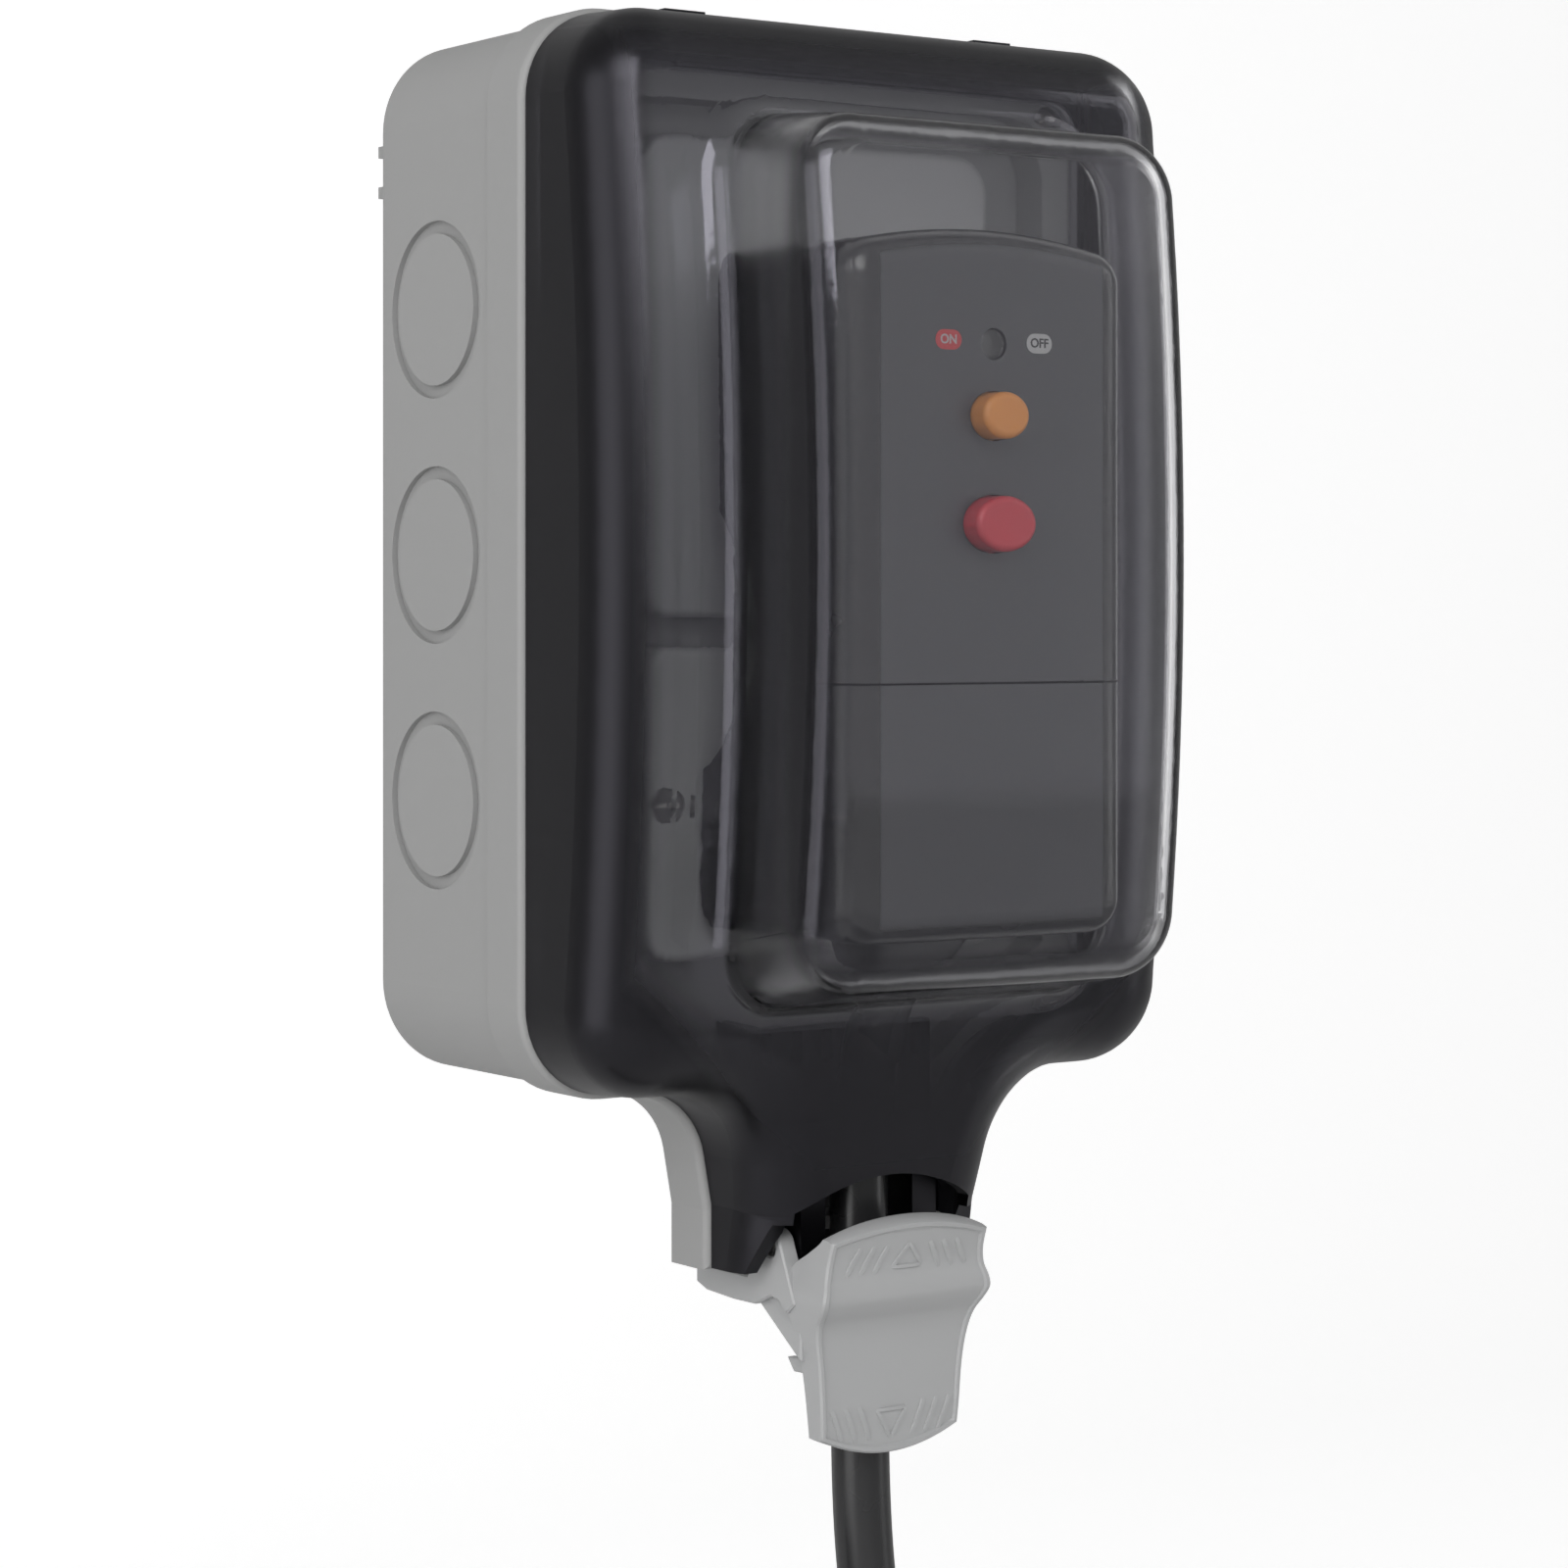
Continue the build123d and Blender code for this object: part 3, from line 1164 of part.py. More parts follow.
def coil_point(angle):
    """Point of the coil's centre line, this many radians on from where it starts."""
    inward = min(angle, turn_total - angle)
    last = max(0.0, (angle - turn_total + pi) / pi)
    radius = coil_radius - coil_pitch * inward / (2 * pi) + coil_flare * (1 - cos(pi * last)) / 2
    climb = min(1.0, max(0.0, (angle - turn_middle + pi / 2) / pi))
    depth = coil_depth - coil_layer * (1 - cos(pi * climb)) / 2
    return Vector(coil_centre_x + radius * cos(angle), -depth, coil_centre_z - radius * sin(angle))


def coil_heading(angle):
    """Direction of the coil's centre line there; straight down at both ends."""
    if angle in (0.0, turn_total):
        return Vector(0, 0, -1)
    return (coil_point(angle + 0.05) - coil_point(angle - 0.05)).normalized()


def biarc(start, start_heading, end, end_heading):
    """Two arcs that join at one tangent, from one point and heading to another."""
    chord = end - start
    both = start_heading + end_heading
    spread = 2 * (1 - start_heading.dot(end_heading))
    reach = (-chord.dot(both) + sqrt(chord.dot(both) ** 2 + spread * chord.dot(chord))) / spread
    middle = (start + start_heading * reach + end - end_heading * reach) * 0.5
    first = TangentArc(start, middle, tangent=start_heading)
    TangentArc(middle, end, tangent=first % 1)


quarter_count = 4 * coil_turns
coil_angles = [turn_total * step / quarter_count for step in range(quarter_count + 1)]
with BuildPart() as cord_coil:
    with BuildLine() as coil_path:
        Line((coil_x, -coil_depth, coil_start), coil_point(0.0))
        for first_angle, next_angle in zip(coil_angles, coil_angles[1:]):
            biarc(coil_point(first_angle), coil_heading(first_angle), coil_point(next_angle),
                  coil_heading(next_angle))
        Line(coil_point(turn_total), coil_point(turn_total) + Vector(0, 0, -cord_diameter))
    with BuildSketch(Plane(origin=(coil_x, -coil_depth, coil_start), z_dir=(0, 0, -1))):
        Circle(cord_diameter / 2)
    sweep(path=coil_path.line)
coil_length = coil_path.wires()[0].length
print("coil volume over section times length", round(cord_coil.part.volume / (cord_section * coil_length), 4),
      "length", round(coil_length, 1), "whole cord", round(coil_length + path.length, 1))
coil_samples = [coil_point(turn_total * step / 1440) for step in range(1441)]
apart = min((a - b).length for i, a in enumerate(coil_samples[::6])
            for j, b in enumerate(coil_samples) if abs(6 * i - j) > 120)
print("coil least gap to itself", round(apart - cord_diameter, 2))
save("cord_coil", cord_coil.part)

# Tie: a strap round the turns at the top of the coil
with BuildPart() as cord_tie:
    with BuildSketch(Plane.YZ.offset(coil_centre_x - 5)):
        with Locations((-coil_depth + coil_layer / 2, coil_centre_z + tie_rise)):
            RectangleRounded(tie_deep + 3.2, tie_tall + 3.2, 6.6)
            RectangleRounded(tie_deep, tie_tall, 5.0, mode=Mode.SUBTRACT)
    extrude(amount=10)
save("cord_tie", cord_tie.part)

# Connector on the far end: a ribbed sleeve, a grip body and a socket face, hanging from the coil
cord_end = coil_point(turn_total) + Vector(0, 0, -cord_diameter)
with BuildPart() as connector_sleeve:
    with BuildSketch(Plane.XZ.offset(-cord_end.Y)):
        Polygon((cord_end.X, cord_end.Z), (cord_end.X + 6.2, cord_end.Z),
                (cord_end.X + 8.6, cord_end.Z - sleeve_length + 5), (cord_end.X + 11, cord_end.Z - sleeve_length),
                (cord_end.X, cord_end.Z - sleeve_length), align=None)
        with Locations([(cord_end.X + 7.4 + 0.36 * step, cord_end.Z - 6 - 4 * step) for step in range(5)]):
            Rectangle(1.6, 1.5, mode=Mode.SUBTRACT)
    revolve(axis=Axis((cord_end.X, cord_end.Y, 0), (0, 0, 1)))
save("connector_sleeve", connector_sleeve.part)

body_top = cord_end.Z - sleeve_length
with BuildPart() as connector_body:
    with BuildSketch(Plane.XY.offset(body_top)):
        with Locations((cord_end.X, cord_end.Y)):
            Circle(connector_radius)
            with PolarLocations(connector_radius + 0.6, 12):
                Circle(1.6, mode=Mode.SUBTRACT)
    extrude(amount=-connector_length)
    fillet(faces().sort_by(Axis.Z)[-1].edges(), 0.8)
    with BuildSketch(Plane.XY.offset(body_top - connector_length)):
        with Locations((cord_end.X, cord_end.Y)):
            Circle(connector_radius - 3)
    extrude(amount=12, mode=Mode.SUBTRACT)
save("connector_body", connector_body.part)

with BuildPart() as connector_insert:
    with BuildSketch(Plane.XY.offset(body_top - connector_length + 1.5)):
        with Locations((cord_end.X, cord_end.Y)):
            Circle(connector_radius - 3.1)
            with PolarLocations(5.4, 3):
                Circle(2.0, mode=Mode.SUBTRACT)
    extrude(amount=10.4)
save("connector_insert", connector_insert.part)
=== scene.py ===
from math import cos, pi, radians, sin

import bmesh
import bpy
from bpy.props import FloatProperty, FloatVectorProperty, IntProperty, PointerProperty
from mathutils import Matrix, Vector


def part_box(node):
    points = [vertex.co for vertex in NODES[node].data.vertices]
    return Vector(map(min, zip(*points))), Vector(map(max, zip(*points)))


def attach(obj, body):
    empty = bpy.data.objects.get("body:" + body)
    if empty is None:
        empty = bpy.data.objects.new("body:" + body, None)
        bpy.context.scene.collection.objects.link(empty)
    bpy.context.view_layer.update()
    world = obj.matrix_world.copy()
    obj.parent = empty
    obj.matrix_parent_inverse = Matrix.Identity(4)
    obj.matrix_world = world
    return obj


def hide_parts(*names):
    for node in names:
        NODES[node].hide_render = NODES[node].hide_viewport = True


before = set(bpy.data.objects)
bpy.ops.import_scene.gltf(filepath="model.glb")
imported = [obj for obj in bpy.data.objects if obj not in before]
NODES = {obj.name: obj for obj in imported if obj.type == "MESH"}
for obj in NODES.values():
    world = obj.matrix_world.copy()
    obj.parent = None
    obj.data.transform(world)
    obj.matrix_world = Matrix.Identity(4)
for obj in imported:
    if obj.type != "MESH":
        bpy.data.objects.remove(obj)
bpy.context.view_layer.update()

bl_info = {
    "name": "Weatherproof Socket Outlet",
    "version": (1, 0, 0),
    "blender": (4, 5, 0),
    "location": "View3D > Sidebar > Socket",
    "description": "Gives the packed socket outlet its finishes, cord and latch lever, on a plain stage",
    "category": "Object",
}

MM = 0.001


# Properties

def colour(name, description, value):
    """A colour property in linear light."""
    return FloatVectorProperty(name=name, description=description, default=value, size=3, min=0.0, max=1.0,
                               subtype='COLOR')


def length(name, description, value):
    """A length property in metres."""
    return FloatProperty(name=name, description=description, default=value, min=0.0, unit='LENGTH')


def share(name, description, value):
    """A factor property from nought to one."""
    return FloatProperty(name=name, description=description, default=value, min=0.0, max=1.0,
                         subtype='FACTOR')


class CaseSettings(bpy.types.PropertyGroup):
    """Finish of the box, the frame, the blank panel, the latch lever and the seals."""
    plastic: colour("Plastic", "Light grey of the moulded box", (0.298, 0.298, 0.297))
    # The panel is the box's grey plastic, painted paler as painted light for the light that reaches it behind
    # the lid
    panel: colour("Panel", "Pale grey of the blank panel behind the lid", (0.42, 0.42, 0.42))
    lever: colour("Lever", "Grey of the latch lever", (0.385, 0.388, 0.391))
    seal: colour("Seal", "Black of the rubber seals", (0.012, 0.012, 0.013))
    grain: length("Grain", "Size of the moulded grain", 0.6 * MM)


class LidSettings(bpy.types.PropertyGroup):
    """Finish of the smoked lid."""
    clear: colour("Clear tint", "Tint over the bulge, where the wall is clearest", (0.90, 0.90, 0.91))
    wall: colour("Wall tint", "Tint of the bulge's sides", (0.86, 0.86, 0.87))
    # Painted shade: the bulge's rounded edge gets a much darker tint than its sides, so that it shows as a
    # thin dark line
    brim_shade: colour("Edge tint", "Tint of the bulge's rounded edge", (0.24, 0.24, 0.25))
    smoke: colour("Smoke tint", "Tint of the flat front round the bulge", (0.68, 0.68, 0.705))
    foot: colour("Foot tint", "Tint of the front where it runs down into the neck", (0.008, 0.008, 0.009))
    rim: colour("Rim tint", "Tint of the matt side walls", (0.006, 0.006, 0.007))
    shine: colour("Reflection tint", "Tint of what the lid reflects", (0.78, 0.76, 0.87))
    gloss: share("Roughness", "Roughness of the polished front", 0.05)
    rim_gloss: share("Rim roughness", "Roughness of the matt side walls", 0.34)


class PlugSettings(bpy.types.PropertyGroup):
    """Finish of the plug and its controls."""
    body: colour("Body", "Black of the rear housing", (0.011, 0.011, 0.012))
    cover: colour("Cover", "Charcoal of the front covers", (0.054, 0.054, 0.059))
    reset: colour("Reset button", "Orange of the upper button", (0.60, 0.235, 0.05))
    test: colour("Test button", "Red of the lower button", (0.46, 0.030, 0.045))


class CordSettings(bpy.types.PropertyGroup):
    """Sizes and finish of the cord."""
    diameter: length("Diameter", "Outside diameter of the cord", 10.0 * MM)
    turn_radius: length("Coil radius", "Radius of the coil's outermost turn", 66.0 * MM)
    pitch: length("Pitch", "Distance from turn to turn", 10.8 * MM)
    layer: length("Layer", "Distance between the coil's two layers", 10.9 * MM)
    turns: IntProperty(name="Turns", description="Turns in the coil", default=4, min=1, max=12)
    sheath: colour("Sheath", "Black of the cord", (0.016, 0.016, 0.017))


class StageSettings(bpy.types.PropertyGroup):
    """Light and floor."""
    floor: colour("Floor", "Colour of the floor and backdrop", (0.88, 0.88, 0.88))
    world: FloatProperty(name="Surrounding light", description="Strength of the light from all round",
                         default=0.36, min=0.0)
    key: FloatProperty(name="Key lamp", description="Power of the large lamp at the front left",
                       default=12.2, min=0.0, unit='POWER')
    fill: FloatProperty(name="Fill lamp", description="Power of the soft lamp at the left",
                        default=7.5, min=0.0, unit='POWER')
    rim: FloatProperty(name="Side lamp", description="Power of the tall lamp at the right",
                       default=1.7, min=0.0, unit='POWER')


class SocketOutletSettings(bpy.types.PropertyGroup):
    """All settings of the outlet."""
    case: PointerProperty(type=CaseSettings)
    lid: PointerProperty(type=LidSettings)
    plug: PointerProperty(type=PlugSettings)
    cord: PointerProperty(type=CordSettings)
    stage: PointerProperty(type=StageSettings)


# Shared helpers for objects, meshes and curves

def put_in_scene(name, data):
    """Puts a mesh, curve, lamp or camera in the scene as an object at the origin."""
    item = bpy.data.objects.new(name, data)
    bpy.context.scene.collection.objects.link(item)
    return item


def settled_mesh(source):
    """Turns an object with its modifiers into a plain mesh, and removes the object."""
    bpy.context.view_layer.update()
    mesh = bpy.data.meshes.new_from_object(source.evaluated_get(bpy.context.evaluated_depsgraph_get()))
    bpy.data.objects.remove(source)
    return mesh


def flat_curve(name, rings, half_thick):
    """A filled flat curve through closed rings of points, with a thickness."""
    curve = bpy.data.curves.new(name, 'CURVE')
    curve.dimensions = '2D'
    curve.fill_mode = 'BOTH'
    curve.extrude = half_thick
    for ring in rings:
        spline = curve.splines.new('POLY')
        spline.points.add(len(ring) - 1)
        for point, place in zip(spline.points, ring):
            point.co = (*place, 0.0, 1.0)
        spline.use_cyclic_u = True
    return curve


# Shared shader nodes and groups

# The fine grain's noise and how strongly it shows, and the broad noise that the roughness drifts by
GRAIN_DETAIL = 3.0
GRAIN_STRENGTH = 0.35
DRIFT_SCALE = 38.0
DRIFT_DETAIL = 4.0


def math_node(tree, operation, *values, clamp=False):
    """A Math node with its inputs given as numbers or sockets; returns its output."""
    node = tree.nodes.new('ShaderNodeMath')
    node.operation = operation
    node.use_clamp = clamp
    for socket, value in zip(node.inputs, values):
        if isinstance(value, (int, float)):
            socket.default_value = value
        else:
            tree.links.new(value, socket)
    return node.outputs[0]


def ramp_between(tree, value, low, high):
    """0 at low and 1 at high, with a soft step between; low may be the larger of the two."""
    node = tree.nodes.new('ShaderNodeMapRange')
    node.interpolation_type = 'SMOOTHSTEP'
    tree.links.new(value, node.inputs["Value"])
    node.inputs["From Min"].default_value = low
    node.inputs["From Max"].default_value = high
    return node.outputs["Result"]


def mix_colours(tree, factor, first, second):
    """Mixes two colours, each given as a colour or a socket."""
    node = tree.nodes.new('ShaderNodeMix')
    node.data_type = 'RGBA'
    tree.links.new(factor, node.inputs["Factor"])
    for socket, value in ((node.inputs[6], first), (node.inputs[7], second)):
        if isinstance(value, bpy.types.NodeSocket):
            tree.links.new(value, socket)
        else:
            socket.default_value = (*value, 1.0)
    return node.outputs[2]


def object_place(tree):
    """The place on the piece in its own coordinates, as sockets named X, Y and Z."""
    place = tree.nodes.new('ShaderNodeTexCoord')
    split = tree.nodes.new('ShaderNodeSeparateXYZ')
    tree.links.new(place.outputs["Object"], split.inputs[0])
    return split.outputs


def group_sockets(group, inputs, outputs):
    """Names the inputs and outputs of a shader group."""
    for name, default in inputs:
        socket = group.interface.new_socket(name, in_out='INPUT', socket_type='NodeSocketFloat')
        socket.default_value = default
    for name in outputs:
        group.interface.new_socket(name, in_out='OUTPUT', socket_type='NodeSocketFloat')


def grain_group():
    """Moulded grain: a height for bumps and a roughness that wanders a little."""
    group = bpy.data.node_groups.get("Moulded Grain")
    if group:
        return group
    group = bpy.data.node_groups.new("Moulded Grain", 'ShaderNodeTree')
    inputs = (("Grain Size", 0.6 * MM), ("Roughness", 0.5), ("Wander", 0.06))
    group_sockets(group, inputs, ("Height", "Roughness"))
    entry = group.nodes.new('NodeGroupInput')
    leave = group.nodes.new('NodeGroupOutput')
    place = group.nodes.new('ShaderNodeTexCoord')
    grain = group.nodes.new('ShaderNodeTexNoise')
    grain.inputs["Detail"].default_value = GRAIN_DETAIL
    broad = group.nodes.new('ShaderNodeTexNoise')
    broad.inputs["Scale"].default_value = DRIFT_SCALE
    broad.inputs["Detail"].default_value = DRIFT_DETAIL
    for texture in (grain, broad):
        group.links.new(place.outputs["Object"], texture.inputs["Vector"])
    group.links.new(math_node(group, 'DIVIDE', 1.0, entry.outputs["Grain Size"]), grain.inputs["Scale"])
    swing = math_node(group, 'SUBTRACT', broad.outputs["Fac"], 0.5)
    drift = math_node(group, 'MULTIPLY', swing, entry.outputs["Wander"])
    group.links.new(grain.outputs["Fac"], leave.inputs["Height"])
    group.links.new(math_node(group, 'ADD', entry.outputs["Roughness"], drift), leave.inputs["Roughness"])
    return group


def add_grain(material, size, roughness, wander, depth, strength=GRAIN_STRENGTH):
    """Places the grain group in a material and links it to the shader."""
    tree = material.node_tree
    shader = tree.nodes["Principled BSDF"]
    grain = tree.nodes.new('ShaderNodeGroup')
    grain.node_tree = grain_group()
    for name, value in (("Grain Size", size), ("Roughness", roughness), ("Wander", wander)):
        grain.inputs[name].default_value = value
    bump = tree.nodes.new('ShaderNodeBump')
    bump.inputs["Strength"].default_value = strength
    bump.inputs["Distance"].default_value = depth
    tree.links.new(grain.outputs["Height"], bump.inputs["Height"])
    tree.links.new(bump.outputs["Normal"], shader.inputs["Normal"])
    tree.links.new(grain.outputs["Roughness"], shader.inputs["Roughness"])


def plain_material(name, base, roughness=0.5, metallic=0.0, specular=0.5, coat=0.0, transmission=0.0):
    """A material with one Principled shader and constants on its own sockets."""
    material = bpy.data.materials.new(name)
    material.use_nodes = True
    shader = material.node_tree.nodes["Principled BSDF"]
    for socket, value in (("Base Color", (*base, 1.0)), ("Roughness", roughness), ("Metallic", metallic),
                          ("Specular IOR Level", specular), ("Coat Weight", coat),
                          ("Transmission Weight", transmission)):
        shader.inputs[socket].default_value = value
    material.diffuse_color = (*base, 1.0)
    return material


def moulded(name, base, roughness=0.5, grain=0.6 * MM, depth=0.04 * MM, wander=0.08, specular=0.5):
    """A moulded plastic or rubber with a fine grain."""
    material = plain_material(name, base, roughness, specular=specular)
    add_grain(material, grain, roughness, wander, depth)
    return material


def dress(material, *names):
    """Gives CAD nodes one material."""
    for name in names:
        mesh = NODES[name].data
        mesh.materials.clear()
        mesh.materials.append(material)


# Cord: the free stretch and the coil as one curve

# The plug's foot, and the boot that leaves it: its depth from the wall, its lean, its length, and
# the straight stretch of cord after it
PLUG_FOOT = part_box("plug_rear_housing")[0].z
BOOT_DEPTH = 69.6 * MM
BOOT_TILT = radians(25)
BOOT_LENGTH = 7.5 * MM
BOOT_LEAD = 12.5 * MM

# Where the coil starts, and how far its last turn stands out
COIL_X = 10.2 * MM
COIL_DEPTH = 59.0 * MM
COIL_START = -247.0 * MM
COIL_FLARE = 8.0 * MM

# How finely the coil's route and the cord's roundness are divided
POINTS_PER_TURN = 16
CURVE_STEPS = 6


def free_points():
    """The route from the boot to the coil's start, as the CAD cord runs."""
    down = Vector((0, sin(BOOT_TILT), -cos(BOOT_TILT)))
    leave = Vector((0, -BOOT_DEPTH, PLUG_FOOT)) + down * BOOT_LENGTH
    route = [leave, leave + down * BOOT_LEAD]
    route += [Vector(point) * MM for point in (
        (0.0, -58.1, -94.4), (0.0, -58.1, -112.5), (0.4, -58.2, -132.0), (0.0, -58.4, -153.0),
        (1.0, -58.6, -172.0), (4.0, -58.8, -190.8), (7.9, -59.0, -209.3), (10.2, -59.0, -228.2))]
    return route


def coil_points(cord):
    """The coil's control points: in on one layer, a climb where it turns back, and out on the next."""
    turn_total = 2 * pi * cord.turns
    middle = turn_total / 2
    centre_x = COIL_X - cord.turn_radius
    centre_z = COIL_START - cord.diameter
    stretch = 1 / cos(pi / POINTS_PER_TURN)
    route = [Vector((COIL_X, -COIL_DEPTH, COIL_START))]
    count = POINTS_PER_TURN * cord.turns
    for step in range(count):
        angle = turn_total * (step + 0.5) / count
        inward = min(angle, turn_total - angle)
        last = max(0.0, (angle - turn_total + pi) / pi)
        radius = cord.turn_radius - cord.pitch * inward / (2 * pi) + COIL_FLARE * (1 - cos(pi * last)) / 2
        climb = min(1.0, max(0.0, (angle - middle + pi / 2) / pi))
        depth = COIL_DEPTH - cord.layer * (1 - cos(pi * climb)) / 2
        route.append(Vector((centre_x + radius * stretch * cos(angle), -depth,
                             centre_z - radius * stretch * sin(angle))))
    end = Vector((COIL_X + COIL_FLARE, -COIL_DEPTH + cord.layer, centre_z - cord.diameter))
    return route + [end]


def curve_length(curve_object):
    """Length of an evaluated curve object's centreline, in metres."""
    bevel = curve_object.data.bevel_depth
    curve_object.data.bevel_depth = 0.0
    line = curve_object.to_mesh()
    ends = [[line.vertices[index].co for index in edge.vertices] for edge in line.edges]
    total = sum((first - second).length for first, second in ends)
    curve_object.to_mesh_clear()
    curve_object.data.bevel_depth = bevel
    return total


class OUTLET_OT_cord(bpy.types.Operator):
    """Lays the cord from the boot through the neck to its tied coil and connector"""
    bl_idname = "outlet.cord"
    bl_label = "Cord"

    def execute(self, context):
        settings = context.scene.outlet.cord
        curve = bpy.data.curves.new("cord_line", 'CURVE')
        curve.dimensions = '3D'
        curve.resolution_u = CURVE_STEPS
        curve.bevel_depth = settings.diameter / 2
        curve.bevel_resolution = CURVE_STEPS
        curve.use_fill_caps = True
        route = free_points() + coil_points(settings)
        spline = curve.splines.new('NURBS')
        spline.points.add(len(route) - 1)
        for point, place in zip(spline.points, route):
            point.co = (*place, 1.0)
        spline.order_u = 3
        spline.use_endpoint_u = True
        flex = put_in_scene("supply_cord", curve)
        sheath = moulded("Cord Sheath", settings.sheath, roughness=0.27, grain=1.0 * MM, depth=0.02 * MM)
        curve.materials.append(sheath)
        dress(sheath, "cord_boot")
        context.view_layer.update()
        total = curve_length(flex)
        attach(flex, "root")
        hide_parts("cord", "cord_coil")
        return {'FINISHED'}


# Finishes of the CAD pieces

class OUTLET_OT_case(bpy.types.Operator):
    """Finishes the box, the frame, the panel, the seals and the socket"""
    bl_idname = "outlet.case"
    bl_label = "Box and socket"

    def execute(self, context):
        case = context.scene.outlet.case
        shell = moulded("Grey Box Plastic", case.plastic, roughness=0.52, grain=case.grain, depth=0.05 * MM)
        dress(shell, "back_box", "front_frame")
        # Painted light: the panel is the box's grey, made paler for the light that reaches it behind the lid
        panel = moulded("Pale Panel", case.panel, roughness=0.45, grain=case.grain, depth=0.03 * MM)
        dress(panel, "blank_panel")
        rubber = moulded("Seal Rubber", case.seal, roughness=0.72, grain=1.2 * MM, specular=0.3)
        dress(rubber, "box_seal", "lid_seal", "cord_seal", "cord_tie")
        # Painted light: the socket is the box's grey plastic, made paler like the panel for the light that
        # reaches it behind the lid
        white = moulded("Socket White", (0.44, 0.44, 0.43), roughness=0.32, depth=0.02 * MM)
        dress(white, "socket_faceplate", "socket_base", "socket_shutter")
        return {'FINISHED'}


# First and last place of each soft step between the lid's tints, across, up, down or out from the
# wall; the neck's slanting side is measured by its distance across plus its slope times that down
LID_SIDE = (49.0 * MM, 55.0 * MM)
LID_TOP = (79.0 * MM, 86.0 * MM)
LID_BOTTOM = (92.0 * MM, 106.0 * MM)
LID_FOOT = (64.0 * MM, 96.0 * MM)
NECK_SLOPE = 1.1
NECK_SIDE = (118.0 * MM, 132.0 * MM)
BULGE_SIDE = (77.5 * MM, 80.0 * MM)
# The bulge's rounded edge, where painted shade darkens the tint
BULGE_BRIM_SHADE = (89.5 * MM, 94.0 * MM)
BULGE_FACE = (90.0 * MM, 95.0 * MM)
BULGE_HALF_WIDTH = (37.0 * MM, 33.5 * MM)
BULGE_HALF_HEIGHT = (67.0 * MM, 63.0 * MM)

# Share of the matt walls' roughness that the bulge's sides have, and the glass's refraction
BULGE_HAZE = 0.4
LID_INDEX = 1.45


class OUTLET_OT_lid(bpy.types.Operator):
    """Finishes the smoked lid, clear over the bulge and dark and matt down the sides"""
    bl_idname = "outlet.lid"
    bl_label = "Smoked lid"

    def execute(self, context):
        lid = context.scene.outlet.lid
        smoke = plain_material("Smoked Polycarbonate", lid.smoke, lid.gloss, transmission=1.0)
        tree = smoke.node_tree
        shader = tree.nodes["Principled BSDF"]
        shader.inputs["IOR"].default_value = LID_INDEX
        shader.inputs["Specular Tint"].default_value = (*lid.shine, 1.0)
        place = object_place(tree)
        across = math_node(tree, 'ABSOLUTE', place["X"])
        depth = math_node(tree, 'MULTIPLY', place["Y"], -1.0)
        below = math_node(tree, 'MULTIPLY', place["Z"], -1.0)
        rim = self.rim(tree, across, place["Z"], below)
        raised = ramp_between(tree, depth, *BULGE_SIDE)
        face = self.face(tree, across, depth, place["Z"])
        front = mix_colours(tree, ramp_between(tree, below, *LID_FOOT), lid.smoke, lid.foot)
        front = mix_colours(tree, raised, front, lid.wall)
        # Painted shade: the bulge's rounded edge is darkened to a thin dark line
        front = mix_colours(tree, ramp_between(tree, depth, *BULGE_BRIM_SHADE), front, lid.brim_shade)
        front = mix_colours(tree, face, front, lid.clear)
        tree.links.new(mix_colours(tree, rim, front, lid.rim), shader.inputs["Base Color"])
        slope = math_node(tree, 'SUBTRACT', raised, face, clamp=True)
        rough = tree.nodes.new('ShaderNodeMapRange')
        tree.links.new(math_node(tree, 'MAXIMUM', rim, math_node(tree, 'MULTIPLY', slope, BULGE_HAZE)),
                       rough.inputs["Value"])
        rough.inputs["To Min"].default_value = lid.gloss
        rough.inputs["To Max"].default_value = lid.rim_gloss
        tree.links.new(rough.outputs["Result"], shader.inputs["Roughness"])
        dress(smoke, "lid")
        return {'FINISHED'}

    @staticmethod
    def rim(tree, across, height, below):
        """Mask of the matt walls: the sides, the top, the bottom and the neck's slanting sides."""
        toward_side = math_node(tree, 'ADD', across, math_node(tree, 'MULTIPLY', below, NECK_SLOPE))
        sides = math_node(tree, 'MAXIMUM', ramp_between(tree, across, *LID_SIDE),
                          ramp_between(tree, height, *LID_TOP))
        neck = math_node(tree, 'MAXIMUM', ramp_between(tree, toward_side, *NECK_SIDE),
                         ramp_between(tree, below, *LID_BOTTOM))
        return math_node(tree, 'MAXIMUM', sides, neck)

    @staticmethod
    def face(tree, across, depth, height):
        """Mask of the bulge's flat front."""
        along = math_node(tree, 'ABSOLUTE', height)
        inside = math_node(tree, 'MULTIPLY', ramp_between(tree, across, *BULGE_HALF_WIDTH),
                           ramp_between(tree, along, *BULGE_HALF_HEIGHT))
        return math_node(tree, 'MULTIPLY', ramp_between(tree, depth, *BULGE_FACE), inside)


# The cover's face, and the soft steps in depth and half width from its polished border to its flat
COVER_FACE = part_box("plug_front_cover")[0].y
COVER_FLAT = (-COVER_FACE - 0.5 * MM, -COVER_FACE - 0.1 * MM)
COVER_FLAT_HALF = (22.8 * MM, 22.1 * MM)
COVER_POLISH = 0.16

# The height at which the flag's colour changes, and half of its soft step
FLAG_SPLIT = 30.9 * MM
FLAG_STEP = 0.1 * MM
FLAG_BLACK = (0.008, 0.008, 0.009)


